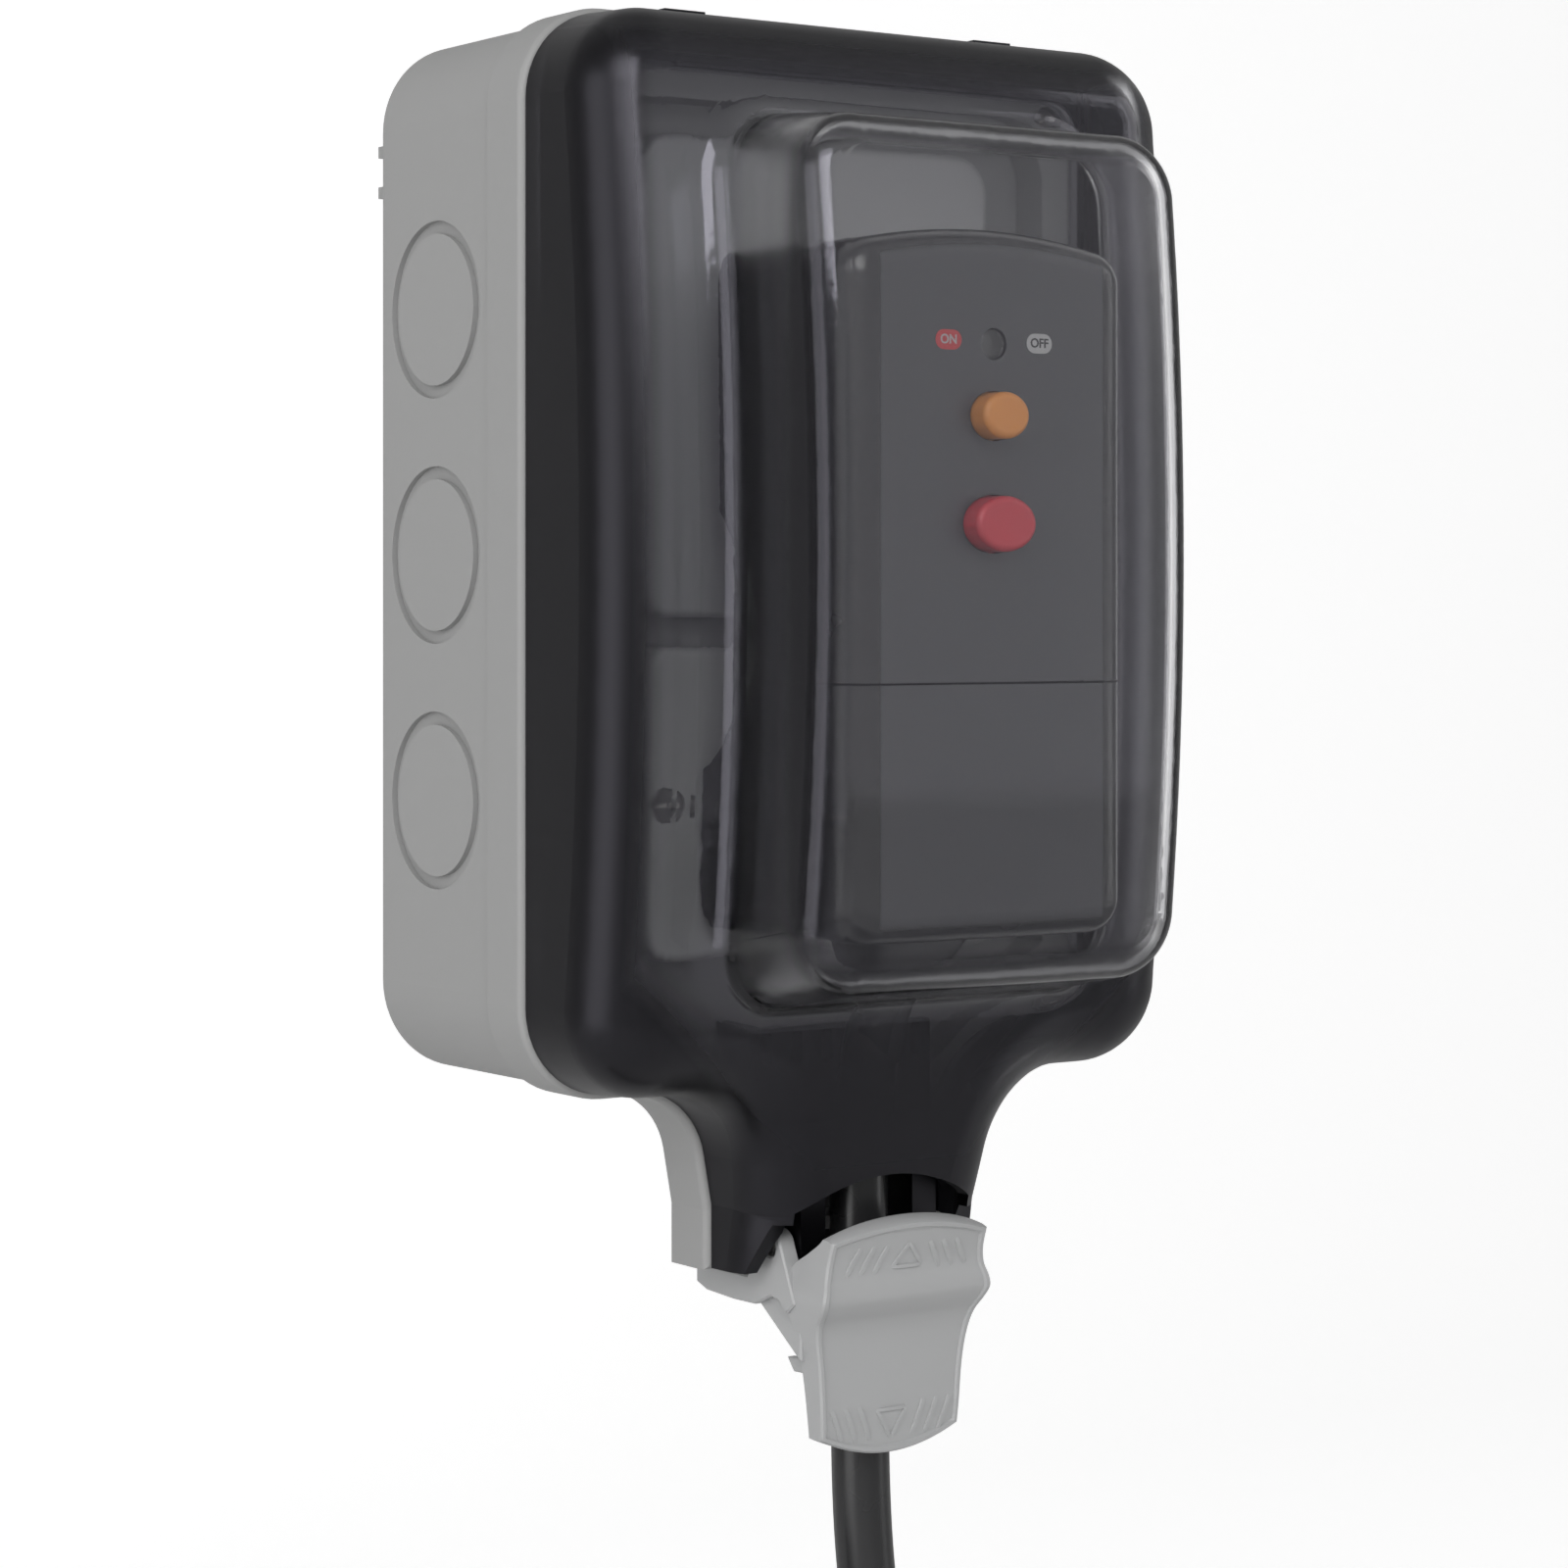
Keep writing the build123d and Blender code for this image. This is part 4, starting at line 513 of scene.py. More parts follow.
class OUTLET_OT_plug(bpy.types.Operator):
    """Finishes the plug's housing, covers, buttons and window"""
    bl_idname = "outlet.plug"
    bl_label = "Safety plug"

    def execute(self, context):
        plug = context.scene.outlet.plug
        housing = moulded("Plug Housing", plug.body, roughness=0.40)
        dress(housing, "plug_rear_housing", "terminal_plate", "pin_sleeves")
        dress(self.cover(plug), "plug_front_cover", "plug_fuse_cover")
        dress(moulded("Reset Orange", plug.reset, roughness=0.34, depth=0.02 * MM), "reset_button")
        dress(moulded("Test Red", plug.test, roughness=0.34, depth=0.02 * MM), "test_button")
        glass = plain_material("Window", (0.60, 0.61, 0.61), roughness=0.05, transmission=1.0)
        dress(glass, "indicator_window")
        dress(self.flag(plug), "indicator_flag")
        dress(plain_material("Board Lacquer", (0.02, 0.11, 0.05), roughness=0.3, coat=0.4), "circuit_board")
        dress(plain_material("Winding Copper", (0.62, 0.24, 0.10), roughness=0.32, metallic=1.0), "trip_coil")
        dress(moulded("Ferrite", (0.03, 0.03, 0.032), roughness=0.7), "sensing_ring")
        dress(moulded("Fuse Ceramic", (0.62, 0.60, 0.55), roughness=0.25), "fuse")
        return {'FINISHED'}

    @staticmethod
    def cover(plug):
        """Matt charcoal on the flat face, and polished black on its border and the sides."""
        paint = moulded("Plug Cover", plug.cover, roughness=0.42, grain=0.4 * MM, depth=0.01 * MM)
        tree = paint.node_tree
        shader = tree.nodes["Principled BSDF"]
        place = object_place(tree)
        depth = math_node(tree, 'MULTIPLY', place["Y"], -1.0)
        across = math_node(tree, 'ABSOLUTE', place["X"])
        flat = math_node(tree, 'MULTIPLY', ramp_between(tree, depth, *COVER_FLAT),
                         ramp_between(tree, across, *COVER_FLAT_HALF))
        tree.links.new(mix_colours(tree, flat, plug.body, plug.cover), shader.inputs["Base Color"])
        matt = shader.inputs["Roughness"].links[0].from_socket
        border = math_node(tree, 'MULTIPLY', math_node(tree, 'SUBTRACT', 1.0, flat), COVER_POLISH)
        tree.links.new(math_node(tree, 'SUBTRACT', matt, border), shader.inputs["Roughness"])
        return paint

    @staticmethod
    def flag(plug):
        """Black where the window shows the flag at rest, and orange below, where it shows once reset."""
        paint = plain_material("Flag Paint", FLAG_BLACK, roughness=0.35)
        tree = paint.node_tree
        height = object_place(tree)["Z"]
        upper = ramp_between(tree, height, FLAG_SPLIT - FLAG_STEP, FLAG_SPLIT + FLAG_STEP)
        tree.links.new(mix_colours(tree, upper, plug.reset, FLAG_BLACK),
                       tree.nodes["Principled BSDF"].inputs["Base Color"])
        return paint


# Print on the plug's face

# The pills' height and distance from the middle, their size, and their words' size and weight
PILL_HEIGHT = 34.0 * MM
PILL_SPREAD = 9.2 * MM
PILL_WIDE = 5.2 * MM
PILL_TALL = 3.2 * MM
PILL_STEPS = 8
PRINT_DEPTH = 0.08 * MM
WORD_SIZE = 2.1 * MM
WORD_WEIGHT = 0.04 * MM
WORD_PROUD = 0.8 * PRINT_DEPTH


def printed(name, curve, material, place=(0.0, 0.0), proud=0.0):
    """Turns a flat curve or text into a mesh that stands on the plug's face, at a place in X and Z."""
    mesh = settled_mesh(put_in_scene(name, curve))
    for vertex in mesh.vertices:
        x, z, out = vertex.co
        vertex.co = (place[0] + x, COVER_FACE - PRINT_DEPTH / 2 - proud - out, place[1] + z)
    mesh.materials.clear()
    mesh.materials.append(material)
    piece = put_in_scene(name, mesh)
    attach(piece, "root")


def pill_outline(centre_x, centre_z):
    """A pill's outline, as two half circles joined by straight sides."""
    radius = PILL_TALL / 2
    half = PILL_WIDE / 2 - radius
    ring = []
    for side, start in ((1, -pi / 2), (-1, pi / 2)):
        for step in range(PILL_STEPS + 1):
            angle = start + pi * step / PILL_STEPS
            ring.append((centre_x + side * half + radius * cos(angle), centre_z + radius * sin(angle)))
    return ring


class OUTLET_OT_print(bpy.types.Operator):
    """Prints the two pills that say which way the indicator stands"""
    bl_idname = "outlet.print"
    bl_label = "Indicator pills"

    def execute(self, context):
        red = moulded("Pill Red", (0.42, 0.045, 0.05), depth=0.01 * MM)
        pale = moulded("Pill Grey", (0.36, 0.36, 0.36), depth=0.01 * MM)
        dark = moulded("Print Dark", (0.03, 0.03, 0.032), depth=0.01 * MM)
        for side, paint, ink, word in ((-1, red, pale, "ON"), (1, pale, dark, "OFF")):
            centre = (side * PILL_SPREAD, PILL_HEIGHT)
            pill_name = "pill_" + word.lower()
            printed(pill_name, flat_curve(pill_name, [pill_outline(*centre)], PRINT_DEPTH / 2), paint)
            word_name = "word_" + word.lower()
            text = bpy.data.curves.new(word_name, 'FONT')
            text.body = word
            text.size = WORD_SIZE
            text.align_x = 'CENTER'
            text.align_y = 'CENTER'
            text.extrude = PRINT_DEPTH / 2
            text.offset = WORD_WEIGHT
            printed(word_name, text, ink, centre, WORD_PROUD)
        return {'FINISHED'}


# Metal parts, the tie's teeth and the connector

class OUTLET_OT_metal(bpy.types.Operator):
    """Finishes the screws, pins, springs and contacts"""
    bl_idname = "outlet.metal"
    bl_label = "Metal parts"

    def execute(self, context):
        zinc = plain_material("Zinc Plate", (0.60, 0.59, 0.57), roughness=0.30, metallic=1.0)
        dress(zinc, "hinge_pins", "latch_pins", "frame_screws", "socket_screws", "terminal_screws",
              "reset_spring", "test_spring")
        brass = plain_material("Bright Brass", (0.72, 0.50, 0.20), roughness=0.24, metallic=1.0)
        dress(brass, "neutral_contact", "live_contact", "earth_contact", "fuse_clips", "plug_neutral_pin",
              "plug_live_pin", "plug_earth_pin")
        for material, strength in ((zinc, 0.05), (brass, 0.04)):
            add_grain(material, 1.2 * MM, roughness=0.30, wander=0.20, depth=0.01 * MM, strength=strength)
        return {'FINISHED'}


# The strap's centre and size, its corners, and the teeth along it
TIE_LOW, TIE_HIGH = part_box("cord_tie")
TIE_CENTRE = (TIE_LOW + TIE_HIGH) / 2
TIE_SIZE = TIE_HIGH - TIE_LOW
TIE_CORNER = 6.6 * MM
TIE_CORNER_STEPS = 8
TOOTH_PITCH = 1.5 * MM
TOOTH_WIDE = 8.0 * MM
TOOTH_THICK = 0.7 * MM


def strap_teeth_tree(material):
    """A Geometry Nodes tree that sets small bars along a rounded strap, square to it."""
    tree = bpy.data.node_groups.new("Strap Teeth", 'GeometryNodeTree')
    tree.interface.new_socket("Geometry", in_out='OUTPUT', socket_type='NodeSocketGeometry')
    for name, value in (("Strap Deep", TIE_SIZE.y), ("Strap Tall", TIE_SIZE.z), ("Corner", TIE_CORNER),
                        ("Pitch", TOOTH_PITCH), ("Bar Wide", TOOTH_WIDE), ("Bar Thick", TOOTH_THICK)):
        socket = tree.interface.new_socket(name, in_out='INPUT', socket_type='NodeSocketFloat')
        socket.default_value = value
        socket.subtype = 'DISTANCE'
    entry = tree.nodes.new('NodeGroupInput')
    leave = tree.nodes.new('NodeGroupOutput')
    outline = tree.nodes.new('GeometryNodeCurvePrimitiveQuadrilateral')
    rounding = tree.nodes.new('GeometryNodeFilletCurve')
    rounding.mode = 'POLY'
    rounding.inputs["Count"].default_value = TIE_CORNER_STEPS
    points = tree.nodes.new('GeometryNodeCurveToPoints')
    points.mode = 'LENGTH'
    bar_size = tree.nodes.new('ShaderNodeCombineXYZ')
    bar = tree.nodes.new('GeometryNodeMeshCube')
    spread = tree.nodes.new('GeometryNodeInstanceOnPoints')
    stand = tree.nodes.new('GeometryNodeTransform')
    stand.inputs["Rotation"].default_value = (pi / 2, 0.0, pi / 2)
    stand.inputs["Translation"].default_value = TIE_CENTRE
    real = tree.nodes.new('GeometryNodeRealizeInstances')
    paint = tree.nodes.new('GeometryNodeSetMaterial')
    paint.inputs["Material"].default_value = material
    for source, output, target, entrance in (
            (entry, "Strap Deep", outline, "Width"), (entry, "Strap Tall", outline, "Height"),
            (outline, "Curve", rounding, "Curve"), (entry, "Corner", rounding, "Radius"),
            (rounding, "Curve", points, "Curve"), (entry, "Pitch", points, "Length"),
            (entry, "Bar Thick", bar_size, "X"), (entry, "Bar Wide", bar_size, "Y"),
            (entry, "Bar Thick", bar_size, "Z"), (bar_size, "Vector", bar, "Size"),
            (points, "Points", spread, "Points"), (bar, "Mesh", spread, "Instance"),
            (points, "Rotation", spread, "Rotation"), (spread, "Instances", stand, "Geometry"),
            (stand, "Geometry", real, "Geometry"), (real, "Geometry", paint, "Geometry"),
            (paint, "Geometry", leave, "Geometry")):
        tree.links.new(source.outputs[output], target.inputs[entrance])
    return tree


def mesh_from_tree(name, tree):
    """Runs a Geometry Nodes tree once and keeps its result as a plain mesh."""
    maker = put_in_scene(name + "_maker", bpy.data.meshes.new(name + "_maker"))
    maker.modifiers.new("Maker", 'NODES').node_group = tree
    mesh = settled_mesh(maker)
    if not mesh.vertices:
        raise RuntimeError(name + " came out empty")
    mesh.name = name
    return mesh


class OUTLET_OT_tie(bpy.types.Operator):
    """Sets the teeth along the strap that ties the coil"""
    bl_idname = "outlet.tie"
    bl_label = "Tie teeth"

    def execute(self, context):
        rubber = NODES["cord_tie"].data.materials[0]
        teeth = put_in_scene("tie_teeth", mesh_from_tree("tie_teeth", strap_teeth_tree(rubber)))
        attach(teeth, "root")
        return {'FINISHED'}


class OUTLET_OT_connector(bpy.types.Operator):
    """Finishes the connector at the cord's far end"""
    bl_idname = "outlet.connector"
    bl_label = "Connector"

    def execute(self, context):
        rubber = moulded("Connector Rubber", (0.014, 0.014, 0.015), roughness=0.55, grain=1.0 * MM,
                         depth=0.06 * MM)
        dress(rubber, "connector_sleeve", "connector_body")
        dress(moulded("Connector Insert", (0.05, 0.05, 0.052), roughness=0.4), "connector_insert")
        return {'FINISHED'}


# Latch lever, in millimetres until its mesh is made

# The face's top and foot, its depth from the wall and half its width against height, and its back
LEVER_TOP = -110.6
LEVER_FOOT = -150.2
LEVER_WAVE = ((-152.0, 66.6), (-144.0, 67.5), (-136.0, 67.8), (-130.5, 68.3), (-127.4, 69.4), (-125.2, 71.2),
              (-123.2, 72.5), (-121.4, 72.5), (-119.4, 71.9), (-116.5, 72.1), (-111.5, 73.8), (-106.0, 75.2))
LEVER_HALF = ((-152.0, 14.0), (-147.0, 14.2), (-136.0, 14.9), (-128.5, 16.1), (-124.5, 17.0), (-121.8, 17.3),
              (-117.0, 16.3), (-111.0, 16.0), (-106.0, 16.2))
LEVER_BACK = ((-152.0, 64.0), (-138.0, 63.0), (-128.0, 61.8), (-123.0, 61.0), (-118.4, 61.8), (-115.4, 66.6),
              (-113.0, 70.2), (-110.0, 71.4), (-106.0, 71.8))

# How far the top and the foot bow, how much the face is crowned, and how finely it is divided
LEVER_BOWS = (2.6, 3.4)
LEVER_CROWN = 0.4
LEVER_COLUMNS = 34
LEVER_ROWS = 84

# The rim's steps in from the edge, its height, the fall at its outer edge and the turn behind it
LEVER_RIM = (0.0, 0.35, 1.05, 1.45)
LEVER_RIM_PROUD = 0.4
LEVER_RIM_FALL = 0.4
LEVER_TURN = 0.5
LEVER_WALL = 1.7

# The chamfer along the top edge, as depth and height
LEVER_CHAMFER = (1.5, 0.9)

# How far the lever stands out from its middle, and the angle past which its edges stay sharp
LEVER_REACH = 17.6
LEVER_SHARP = radians(34)

# Each grip's tip, foot and reach to the side, the half width of its triangle, and its slanting bars
LEVER_GRIPS = ((-114.5, -118.3, 11.4), (-147.8, -142.8, 10.2))
TRIANGLE_HALF = 3.0
SLANT_START = 4.3
SLANT_LEAN = 2.4
SLANT_PITCH = 2.75
SLANT_OVER = 0.2

# A bar's section as shares of its half width, with the height of its crown and how deep its feet stand
BAR_FEET = 1.25
BAR_CROWN = 0.8
BAR_PROUD = 0.32
BAR_SUNK = 0.15
BAR_STEPS = 6
SLANT_BAR = 0.42
TRIANGLE_BAR = 0.34


def through(points, place):
    """Smooth curve through points given as place and value, with the places rising."""
    index = max(i for i in range(len(points) - 1) if points[i][0] <= place or i == 0)
    slopes = []
    for i in (index, index + 1):
        low, high = points[max(0, i - 1)], points[min(len(points) - 1, i + 1)]
        slopes.append((high[1] - low[1]) / (high[0] - low[0]))
    (start, first), (end, last) = points[index], points[index + 1]
    span = end - start
    t = (place - start) / span
    return (first * (2 * t ** 3 - 3 * t ** 2 + 1) + slopes[0] * span * (t ** 3 - 2 * t ** 2 + t)
            + last * (3 * t ** 2 - 2 * t ** 3) + slopes[1] * span * (t ** 3 - t ** 2))


def stations(span, count):
    """Places along a span, close together at both ends for the rim, even in between."""
    inner = [LEVER_RIM[-1] + (span - 2 * LEVER_RIM[-1]) * i / count for i in range(1, count)]
    return [*LEVER_RIM, *inner, *(span - edge for edge in reversed(LEVER_RIM))]


def lever_surface(x, z):
    """Depth of the let-in face at a place seen from the front."""
    return through(LEVER_WAVE, z) - LEVER_CROWN * (x / LEVER_REACH) ** 2


def lever_place(across, down):
    """Place on the face from shares across (from -1 to 1) and down (from 0 to 1)."""
    middle = LEVER_TOP + (LEVER_FOOT - LEVER_TOP) * down
    x = across * through(LEVER_HALF, middle)
    z = middle - LEVER_BOWS[0] * across ** 2 * (1 - down) ** 2 + LEVER_BOWS[1] * across ** 2 * down ** 2
    return x, z


def lever_vertex(shell, x, depth, z):
    """A vertex at a place given in millimetres, with its depth from the wall."""
    return shell.verts.new((x * MM, -depth * MM, z * MM))


def lever_face(shell):
    """The pressed face with its rim, as rows of vertices from the top down."""
    wide = 2 * LEVER_REACH
    tall = LEVER_TOP - LEVER_FOOT
    columns = stations(wide, LEVER_COLUMNS)
    grid = []
    for down in stations(tall, LEVER_ROWS):
        line = []
        for across in columns:
            x, z = lever_place(2 * across / wide - 1, down / tall)
            edge = min(across, wide - across, down, tall - down)
            climb = (LEVER_RIM[3] - edge) / (LEVER_RIM[3] - LEVER_RIM[2])
            rise = LEVER_RIM_PROUD * min(1.0, max(0.0, climb))
            fall = LEVER_RIM_FALL if edge < LEVER_RIM[1] / 2 else 0.0
            line.append(lever_vertex(shell, x, lever_surface(x, z) + rise - fall, z))
        grid.append(line)
    for upper, lower in zip(grid, grid[1:]):
        for i in range(len(columns) - 1):
            shell.faces.new((upper[i], lower[i], lower[i + 1], upper[i + 1]))
    return grid


def lever_tray():
    """The pressed face and the walls behind it, as an open shell."""
    shell = bmesh.new()
    grid = lever_face(shell)
    right = [line[-1] for line in grid[1:-1]]
    left = [line[0] for line in grid[-2:0:-1]]
    loop = [*grid[0], *right, *reversed(grid[-1]), *left]
    # Rings behind the face: its turned edge, then half way and all the way to the back
    for step in (0.0, 0.5, 1.0):
        ring = []
        for vertex in loop:
            x, depth, z = vertex.co.x / MM, -vertex.co.y / MM, vertex.co.z / MM
            if step == 0.0:
                # The top edge falls away in a broad chamfer, less so toward its ends
                full = max(0.0, 1 - abs(x / LEVER_REACH) ** 6) if vertex in grid[0] else 0.0
                depth -= LEVER_TURN + LEVER_CHAMFER[0] * full
                z += LEVER_CHAMFER[1] * full
            else:
                depth += (through(LEVER_BACK, z) - depth) * step
            ring.append(lever_vertex(shell, x, depth, z))
        for i in range(len(loop)):
            j = (i + 1) % len(loop)
            shell.faces.new((loop[i], loop[j], ring[j], ring[i]))
        loop = ring
    return shell


def add_bar(shell, start, end, half_wide=SLANT_BAR):
    """A raised bar between two places on the face, with sloping sides."""
    run = Vector(end) - Vector(start)
    side = Vector((-run.y, run.x)).normalized()
    rows = []
    for step in range(BAR_STEPS + 1):
        middle = Vector(start) + run * step / BAR_STEPS
        crown = 0.0 if step in (0, BAR_STEPS) else BAR_PROUD
        section = ((-BAR_FEET, -BAR_SUNK), (-BAR_CROWN, crown), (BAR_CROWN, crown), (BAR_FEET, -BAR_SUNK))
        row = []
        for offset, rise in section:
            x, z = middle + side * offset * half_wide
            row.append(lever_vertex(shell, x, lever_surface(x, z) + rise, z))
        rows.append(row)
    for first, second in zip(rows, rows[1:]):
        for i in range(len(first) - 1):
            shell.faces.new((first[i], first[i + 1], second[i + 1], second[i]))


def lever_marks(shell):
    """A triangle and slanting bars at each end of the face, as grips for the thumb."""
    for tip, foot, reach in LEVER_GRIPS:
        corners = ((-TRIANGLE_HALF, foot), (TRIANGLE_HALF, foot), (0.0, tip))
        for start, end in zip(corners, (*corners[1:], corners[0])):
            add_bar(shell, start, end, TRIANGLE_BAR)
        for side in (-1, 1):
            place = SLANT_START
            while place < reach:
                lean = (side * (place + SLANT_LEAN), foot - (tip - foot) * SLANT_OVER)
                add_bar(shell, (side * place, tip), lean)
                place += SLANT_PITCH


def plate_mesh(name, middle, thick, outline, holes=()):
    """A plate with bevelled edges in the lever's side view, with outlines of depths and heights."""
    curve = flat_curve(name, (outline, *holes), thick / 2 - PLATE_BEVEL)
    curve.bevel_depth = PLATE_BEVEL
    curve.bevel_resolution = 0
    curve.offset = -PLATE_BEVEL
    mesh = settled_mesh(put_in_scene(name, curve))
    for vertex in mesh.vertices:
        depth, height, out = vertex.co
        vertex.co = ((middle + out) * MM, -depth * MM, height * MM)
    return mesh


def arc(centre, radius, start, step, count):
    """Points of an arc about a centre, from a start angle in even steps of degrees."""
    angles = [radians(start + step * i) for i in range(count)]
    return [(centre[0] + radius * cos(a), centre[1] + radius * sin(a)) for a in angles]


# The bevel of the plates behind the face, the latch's axis with its ear and bore, and the plates'
# outlines as depth and height
PLATE_BEVEL = 0.3
AXIS = (57.2, -115.7)
EAR_THICK = 3.2
EAR_RADIUS = 3.1
BORE_RADIUS = 1.55
ARM = ((64.4, -124.2), (62.0, -126.0), (59.6, -124.2), (57.4, -123.8), (52.5, -125.8), (46.0, -125.9),
       (37.7, -125.5), (34.8, -124.5), (34.8, -119.0), (36.7, -117.2), (37.7, -117.6), (38.2, -121.3),
       (50.4, -121.3))
WEB = ((58.0, -119.6), (60.8, -118.2), (68.0, -115.6), (67.0, -134.0), (63.8, -136.0), (62.6, -131.2),
       (60.1, -124.8), (58.0, -123.0))
GUSSET = ((50.5, -125.0), (58.0, -123.6), (64.0, -125.0), (64.0, -133.8), (63.2, -133.6))
BARB = ((57.4, -134.2), (64.4, -133.2), (64.4, -136.2), (59.3, -136.4))

# Each plate's name, its middle out from the lever's, its thickness, its outline and its holes
PLATES = (("ear", LEVER_REACH - EAR_THICK / 2, EAR_THICK,
           (*arc(AXIS, EAR_RADIUS, 150, -13, 11), *ARM), (arc(AXIS, BORE_RADIUS, 0, -15, 24),)),
          ("web", 13.9, 1.6, WEB, ()),
          ("gusset", 15.2, 1.6, GUSSET, ()),
          ("barb", 13.4, 1.8, BARB, ()))


class OUTLET_OT_lever(bpy.types.Operator):
    """Builds the latch lever's pressed face, its grips, ears, arms and claws"""
    bl_idname = "outlet.lever"
    bl_label = "Latch lever"

    def execute(self, context):
        case = context.scene.outlet.case
        form = bmesh.new()
        form.from_mesh(self.walled(lever_tray()))
        lever_marks(form)
        for side in (-1, 1):
            for name, middle, thick, outline, holes in PLATES:
                form.from_mesh(plate_mesh(name, side * middle, thick, outline, holes))
        mesh = bpy.data.meshes.new("lever_form")
        form.to_mesh(mesh)
        form.free()
        for polygon in mesh.polygons:
            polygon.use_smooth = True
        mesh.set_sharp_from_angle(angle=LEVER_SHARP)
        mesh.materials.clear()
        plastic = moulded("Lever Plastic", case.lever, roughness=0.36, grain=0.5 * MM, depth=0.03 * MM)
        mesh.materials.append(plastic)
        lever = put_in_scene("lever_form", mesh)
        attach(lever, "latch")
        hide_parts("latch_lever")
        return {'FINISHED'}

    @staticmethod
    def walled(shell):
        """Gives the open shell its wall."""
        mesh = bpy.data.meshes.new("lever_tray")
        shell.to_mesh(mesh)
        shell.free()
        tray = put_in_scene("lever_tray", mesh)
        wall = tray.modifiers.new("Wall", 'SOLIDIFY')
        wall.thickness = LEVER_WALL * MM
        wall.offset = -1.0
        return settled_mesh(tray)


# Stage

CAMERA_PLACE = (-0.3823, -0.5929, -0.0086)
CAMERA_TURN = radians(34.46)
CAMERA_LENS = 89.14
CAMERA_SENSOR = 36.0
CAMERA_SHIFT = -0.1135
CAMERA_CLIP = (0.01, 20.0)

# Each lamp's name, its setting, its place, and its width and height
LAMPS = (("key_lamp", "key", (-0.75, -1.15, 0.75), (0.9, 0.9)),
         ("fill_lamp", "fill", (-1.25, -0.30, -0.05), (0.8, 1.5)),
         ("side_lamp", "rim", (0.95, -0.75, 0.15), (0.35, 1.1)))
LAMP_TARGET = Vector((0.0, -0.05, -0.02))

# The floor's height and front edge, its half width, and how far back and up its backdrop stands
FLOOR_HEIGHT = -0.48
FLOOR_FRONT = -2.2
FLOOR_HALF = 2.6
BACKDROP_REACH = 1.6
BACKDROP_TOP = 2.2
BACKDROP_BEND = 0.5
BACKDROP_GLOW = 0.55


class OUTLET_OT_camera(bpy.types.Operator):
    """Puts the camera at the photograph's angle"""
    bl_idname = "outlet.camera"
    bl_label = "Camera"

    def execute(self, context):
        data = bpy.data.cameras.new("outlet_camera")
        data.sensor_width = CAMERA_SENSOR
        data.lens = CAMERA_LENS
        data.shift_y = CAMERA_SHIFT
        data.clip_start, data.clip_end = CAMERA_CLIP
        camera = put_in_scene("outlet_camera", data)
        camera.location = CAMERA_PLACE
        camera.rotation_euler = (pi / 2, 0.0, -CAMERA_TURN)
        context.scene.camera = camera
        return {'FINISHED'}


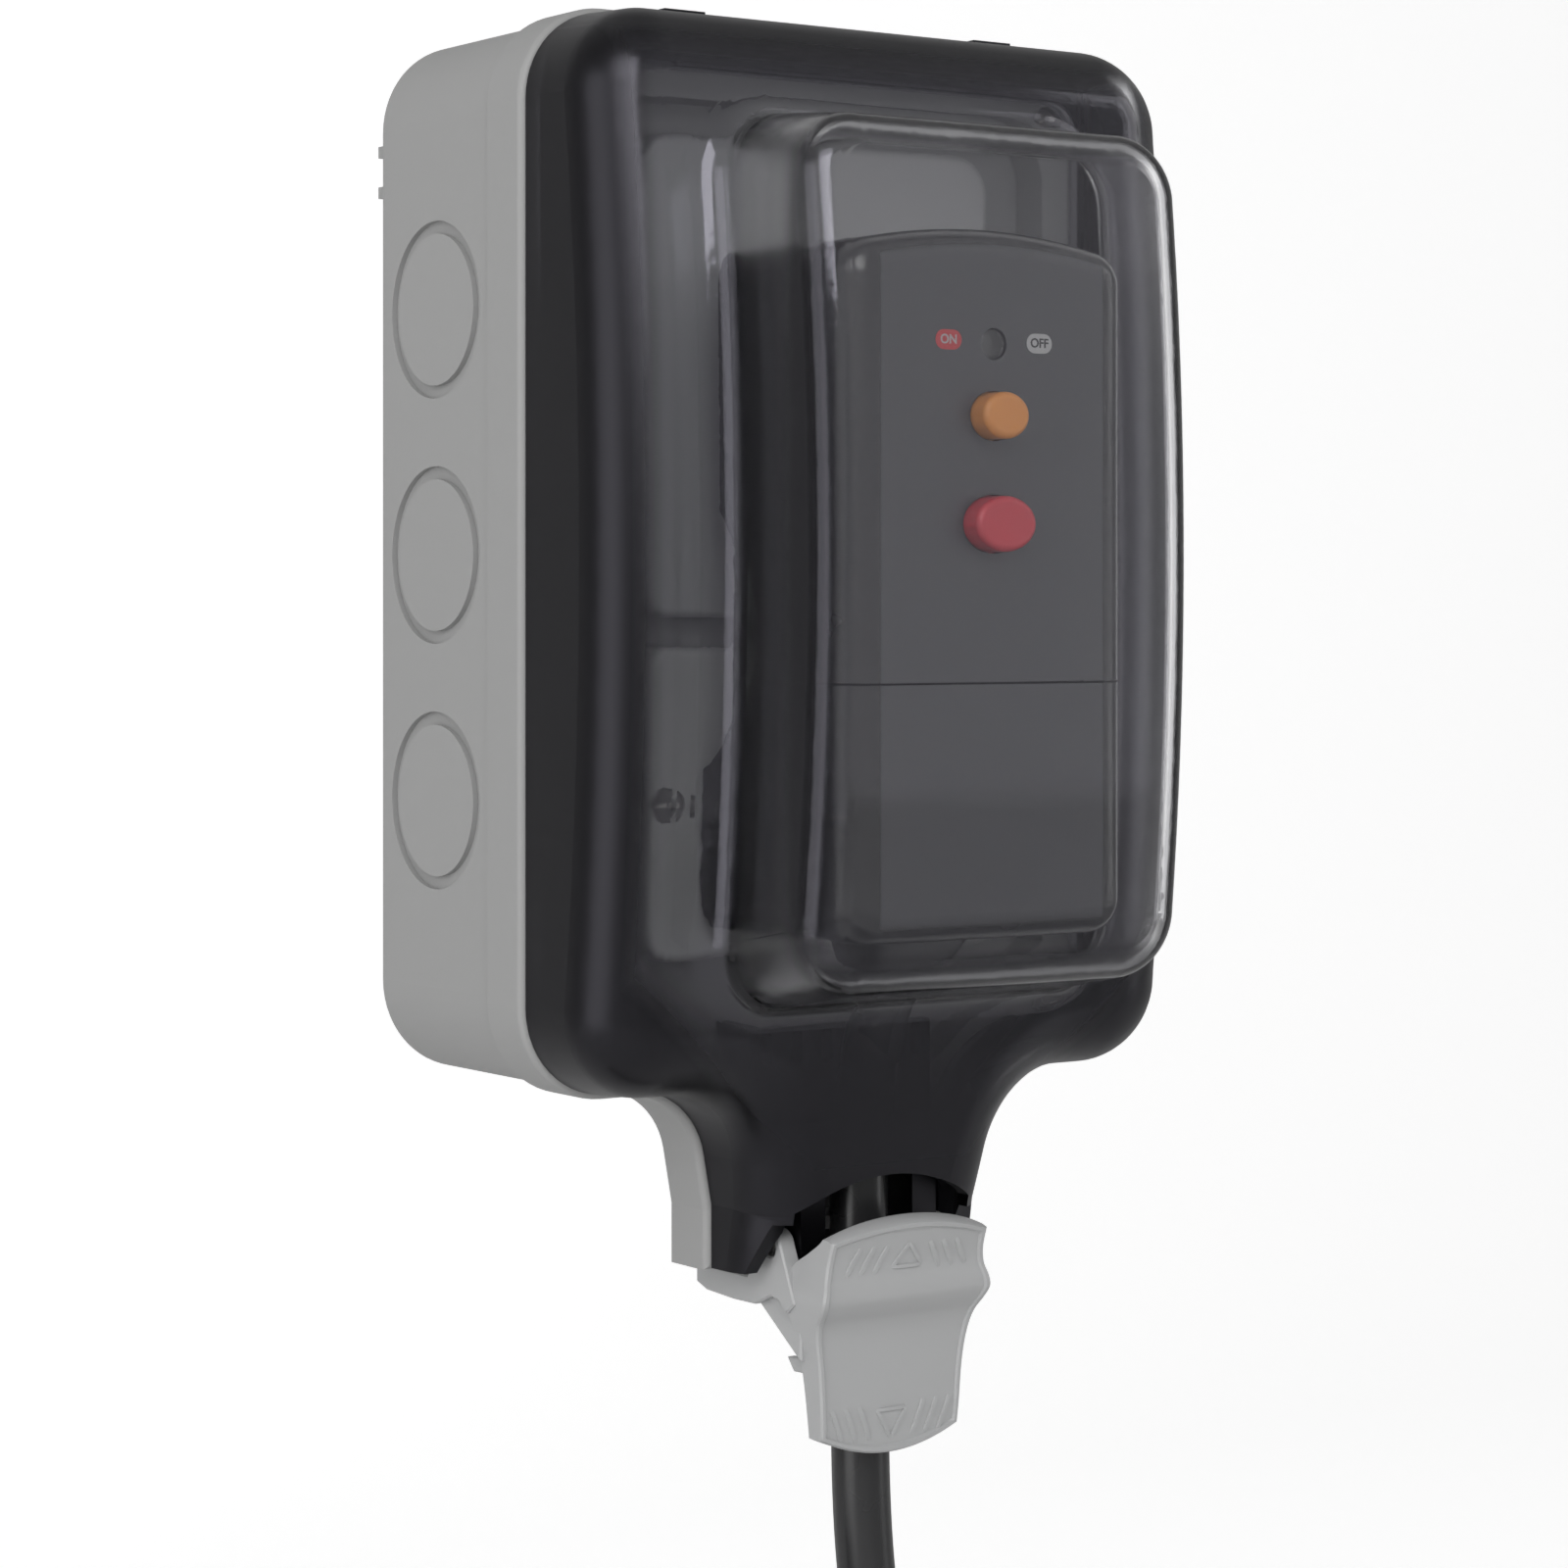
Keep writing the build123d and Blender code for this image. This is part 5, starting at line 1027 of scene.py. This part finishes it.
class OUTLET_OT_stage(bpy.types.Operator):
    """Lays the floor and backdrop and sets the lamps"""
    bl_idname = "outlet.stage"
    bl_label = "Stage and lamps"

    def execute(self, context):
        stage = context.scene.outlet.stage
        self.floor(stage)
        self.world(context, stage)
        for name, setting, place, size in LAMPS:
            self.lamp(name, place, size, getattr(stage, setting))
        return {'FINISHED'}

    @staticmethod
    def lamp(name, place, size, power):
        """A soft rectangular lamp turned to the object."""
        data = bpy.data.lights.new(name, 'AREA')
        data.shape = 'RECTANGLE'
        data.size, data.size_y = size
        data.energy = power
        lamp = put_in_scene(name, data)
        lamp.location = place
        lamp.rotation_mode = 'QUATERNION'
        lamp.rotation_quaternion = (LAMP_TARGET - Vector(place)).to_track_quat('-Z', 'Y')

    @staticmethod
    def floor(stage):
        """A floor that curves up into a backdrop, white to the camera and shaded by the object."""
        straight = BACKDROP_REACH - BACKDROP_BEND
        profile = [(FLOOR_FRONT, FLOOR_HEIGHT), (straight, FLOOR_HEIGHT)]
        for step in range(1, 10):
            angle = radians(10 * step)
            profile.append((straight + BACKDROP_BEND * sin(angle),
                            FLOOR_HEIGHT + BACKDROP_BEND * (1 - cos(angle))))
        profile.append((BACKDROP_REACH, BACKDROP_TOP))
        points = [(x, y, z) for y, z in profile for x in (-FLOOR_HALF, FLOOR_HALF)]
        faces = [(2 * i, 2 * i + 1, 2 * i + 3, 2 * i + 2) for i in range(len(profile) - 1)]
        mesh = bpy.data.meshes.new("backdrop")
        mesh.from_pydata(points, [], faces)
        for polygon in mesh.polygons:
            polygon.use_smooth = True
        backdrop = put_in_scene("backdrop", mesh)
        paint = plain_material("Backdrop", stage.floor, roughness=0.9, specular=0.1)
        tree = paint.node_tree
        shader = tree.nodes["Principled BSDF"]
        path = tree.nodes.new('ShaderNodeLightPath')
        shader.inputs["Emission Color"].default_value = (1.0, 1.0, 1.0, 1.0)
        tree.links.new(math_node(tree, 'MULTIPLY', path.outputs["Is Camera Ray"], BACKDROP_GLOW),
                       shader.inputs["Emission Strength"])
        mesh.materials.append(paint)

    @staticmethod
    def world(context, stage):
        """Even light from all round, white where the camera sees it."""
        world = bpy.data.worlds.new("outlet_world")
        world.use_nodes = True
        context.scene.world = world
        tree = world.node_tree
        background = tree.nodes["Background"]
        background.inputs["Color"].default_value = (1.0, 1.0, 1.0, 1.0)
        path = tree.nodes.new('ShaderNodeLightPath')
        seen = math_node(tree, 'MAXIMUM', path.outputs["Is Camera Ray"], path.outputs["Is Transmission Ray"])
        rest = math_node(tree, 'MULTIPLY', math_node(tree, 'SUBTRACT', 1.0, seen), stage.world)
        tree.links.new(math_node(tree, 'ADD', seen, rest), background.inputs["Strength"])


# Panel and registration

OPERATORS = (OUTLET_OT_camera, OUTLET_OT_cord, OUTLET_OT_case, OUTLET_OT_lid, OUTLET_OT_lever, OUTLET_OT_plug,
             OUTLET_OT_print, OUTLET_OT_metal, OUTLET_OT_tie, OUTLET_OT_connector, OUTLET_OT_stage)


class OUTLET_PT_panel(bpy.types.Panel):
    """Lists the outlet's settings and steps"""
    bl_idname = "OUTLET_PT_panel"
    bl_label = "Socket Outlet"
    bl_space_type = 'VIEW_3D'
    bl_region_type = 'UI'
    bl_category = "Socket"

    def draw(self, context):
        settings = context.scene.outlet
        for part in (settings.case, settings.lid, settings.plug, settings.cord, settings.stage):
            box = self.layout.box()
            for name in part.__annotations__:
                box.prop(part, name)
        for operator in OPERATORS:
            self.layout.operator(operator.bl_idname)


CLASSES = (CaseSettings, LidSettings, PlugSettings, CordSettings, StageSettings, SocketOutletSettings,
           *OPERATORS, OUTLET_PT_panel)


def register():
    for item in CLASSES:
        bpy.utils.register_class(item)
    bpy.types.Scene.outlet = PointerProperty(type=SocketOutletSettings)


def unregister():
    del bpy.types.Scene.outlet
    for item in reversed(CLASSES):
        bpy.utils.unregister_class(item)


def main():
    """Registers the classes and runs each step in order."""
    register()
    bpy.context.scene.view_settings.view_transform = 'Standard'
    bpy.ops.outlet.camera()
    bpy.ops.outlet.cord()
    bpy.ops.outlet.case()
    bpy.ops.outlet.lid()
    bpy.ops.outlet.lever()
    bpy.ops.outlet.plug()
    bpy.ops.outlet.print()
    bpy.ops.outlet.metal()
    bpy.ops.outlet.tie()
    bpy.ops.outlet.connector()
    bpy.ops.outlet.stage()


if __name__ == "__main__":
    main()
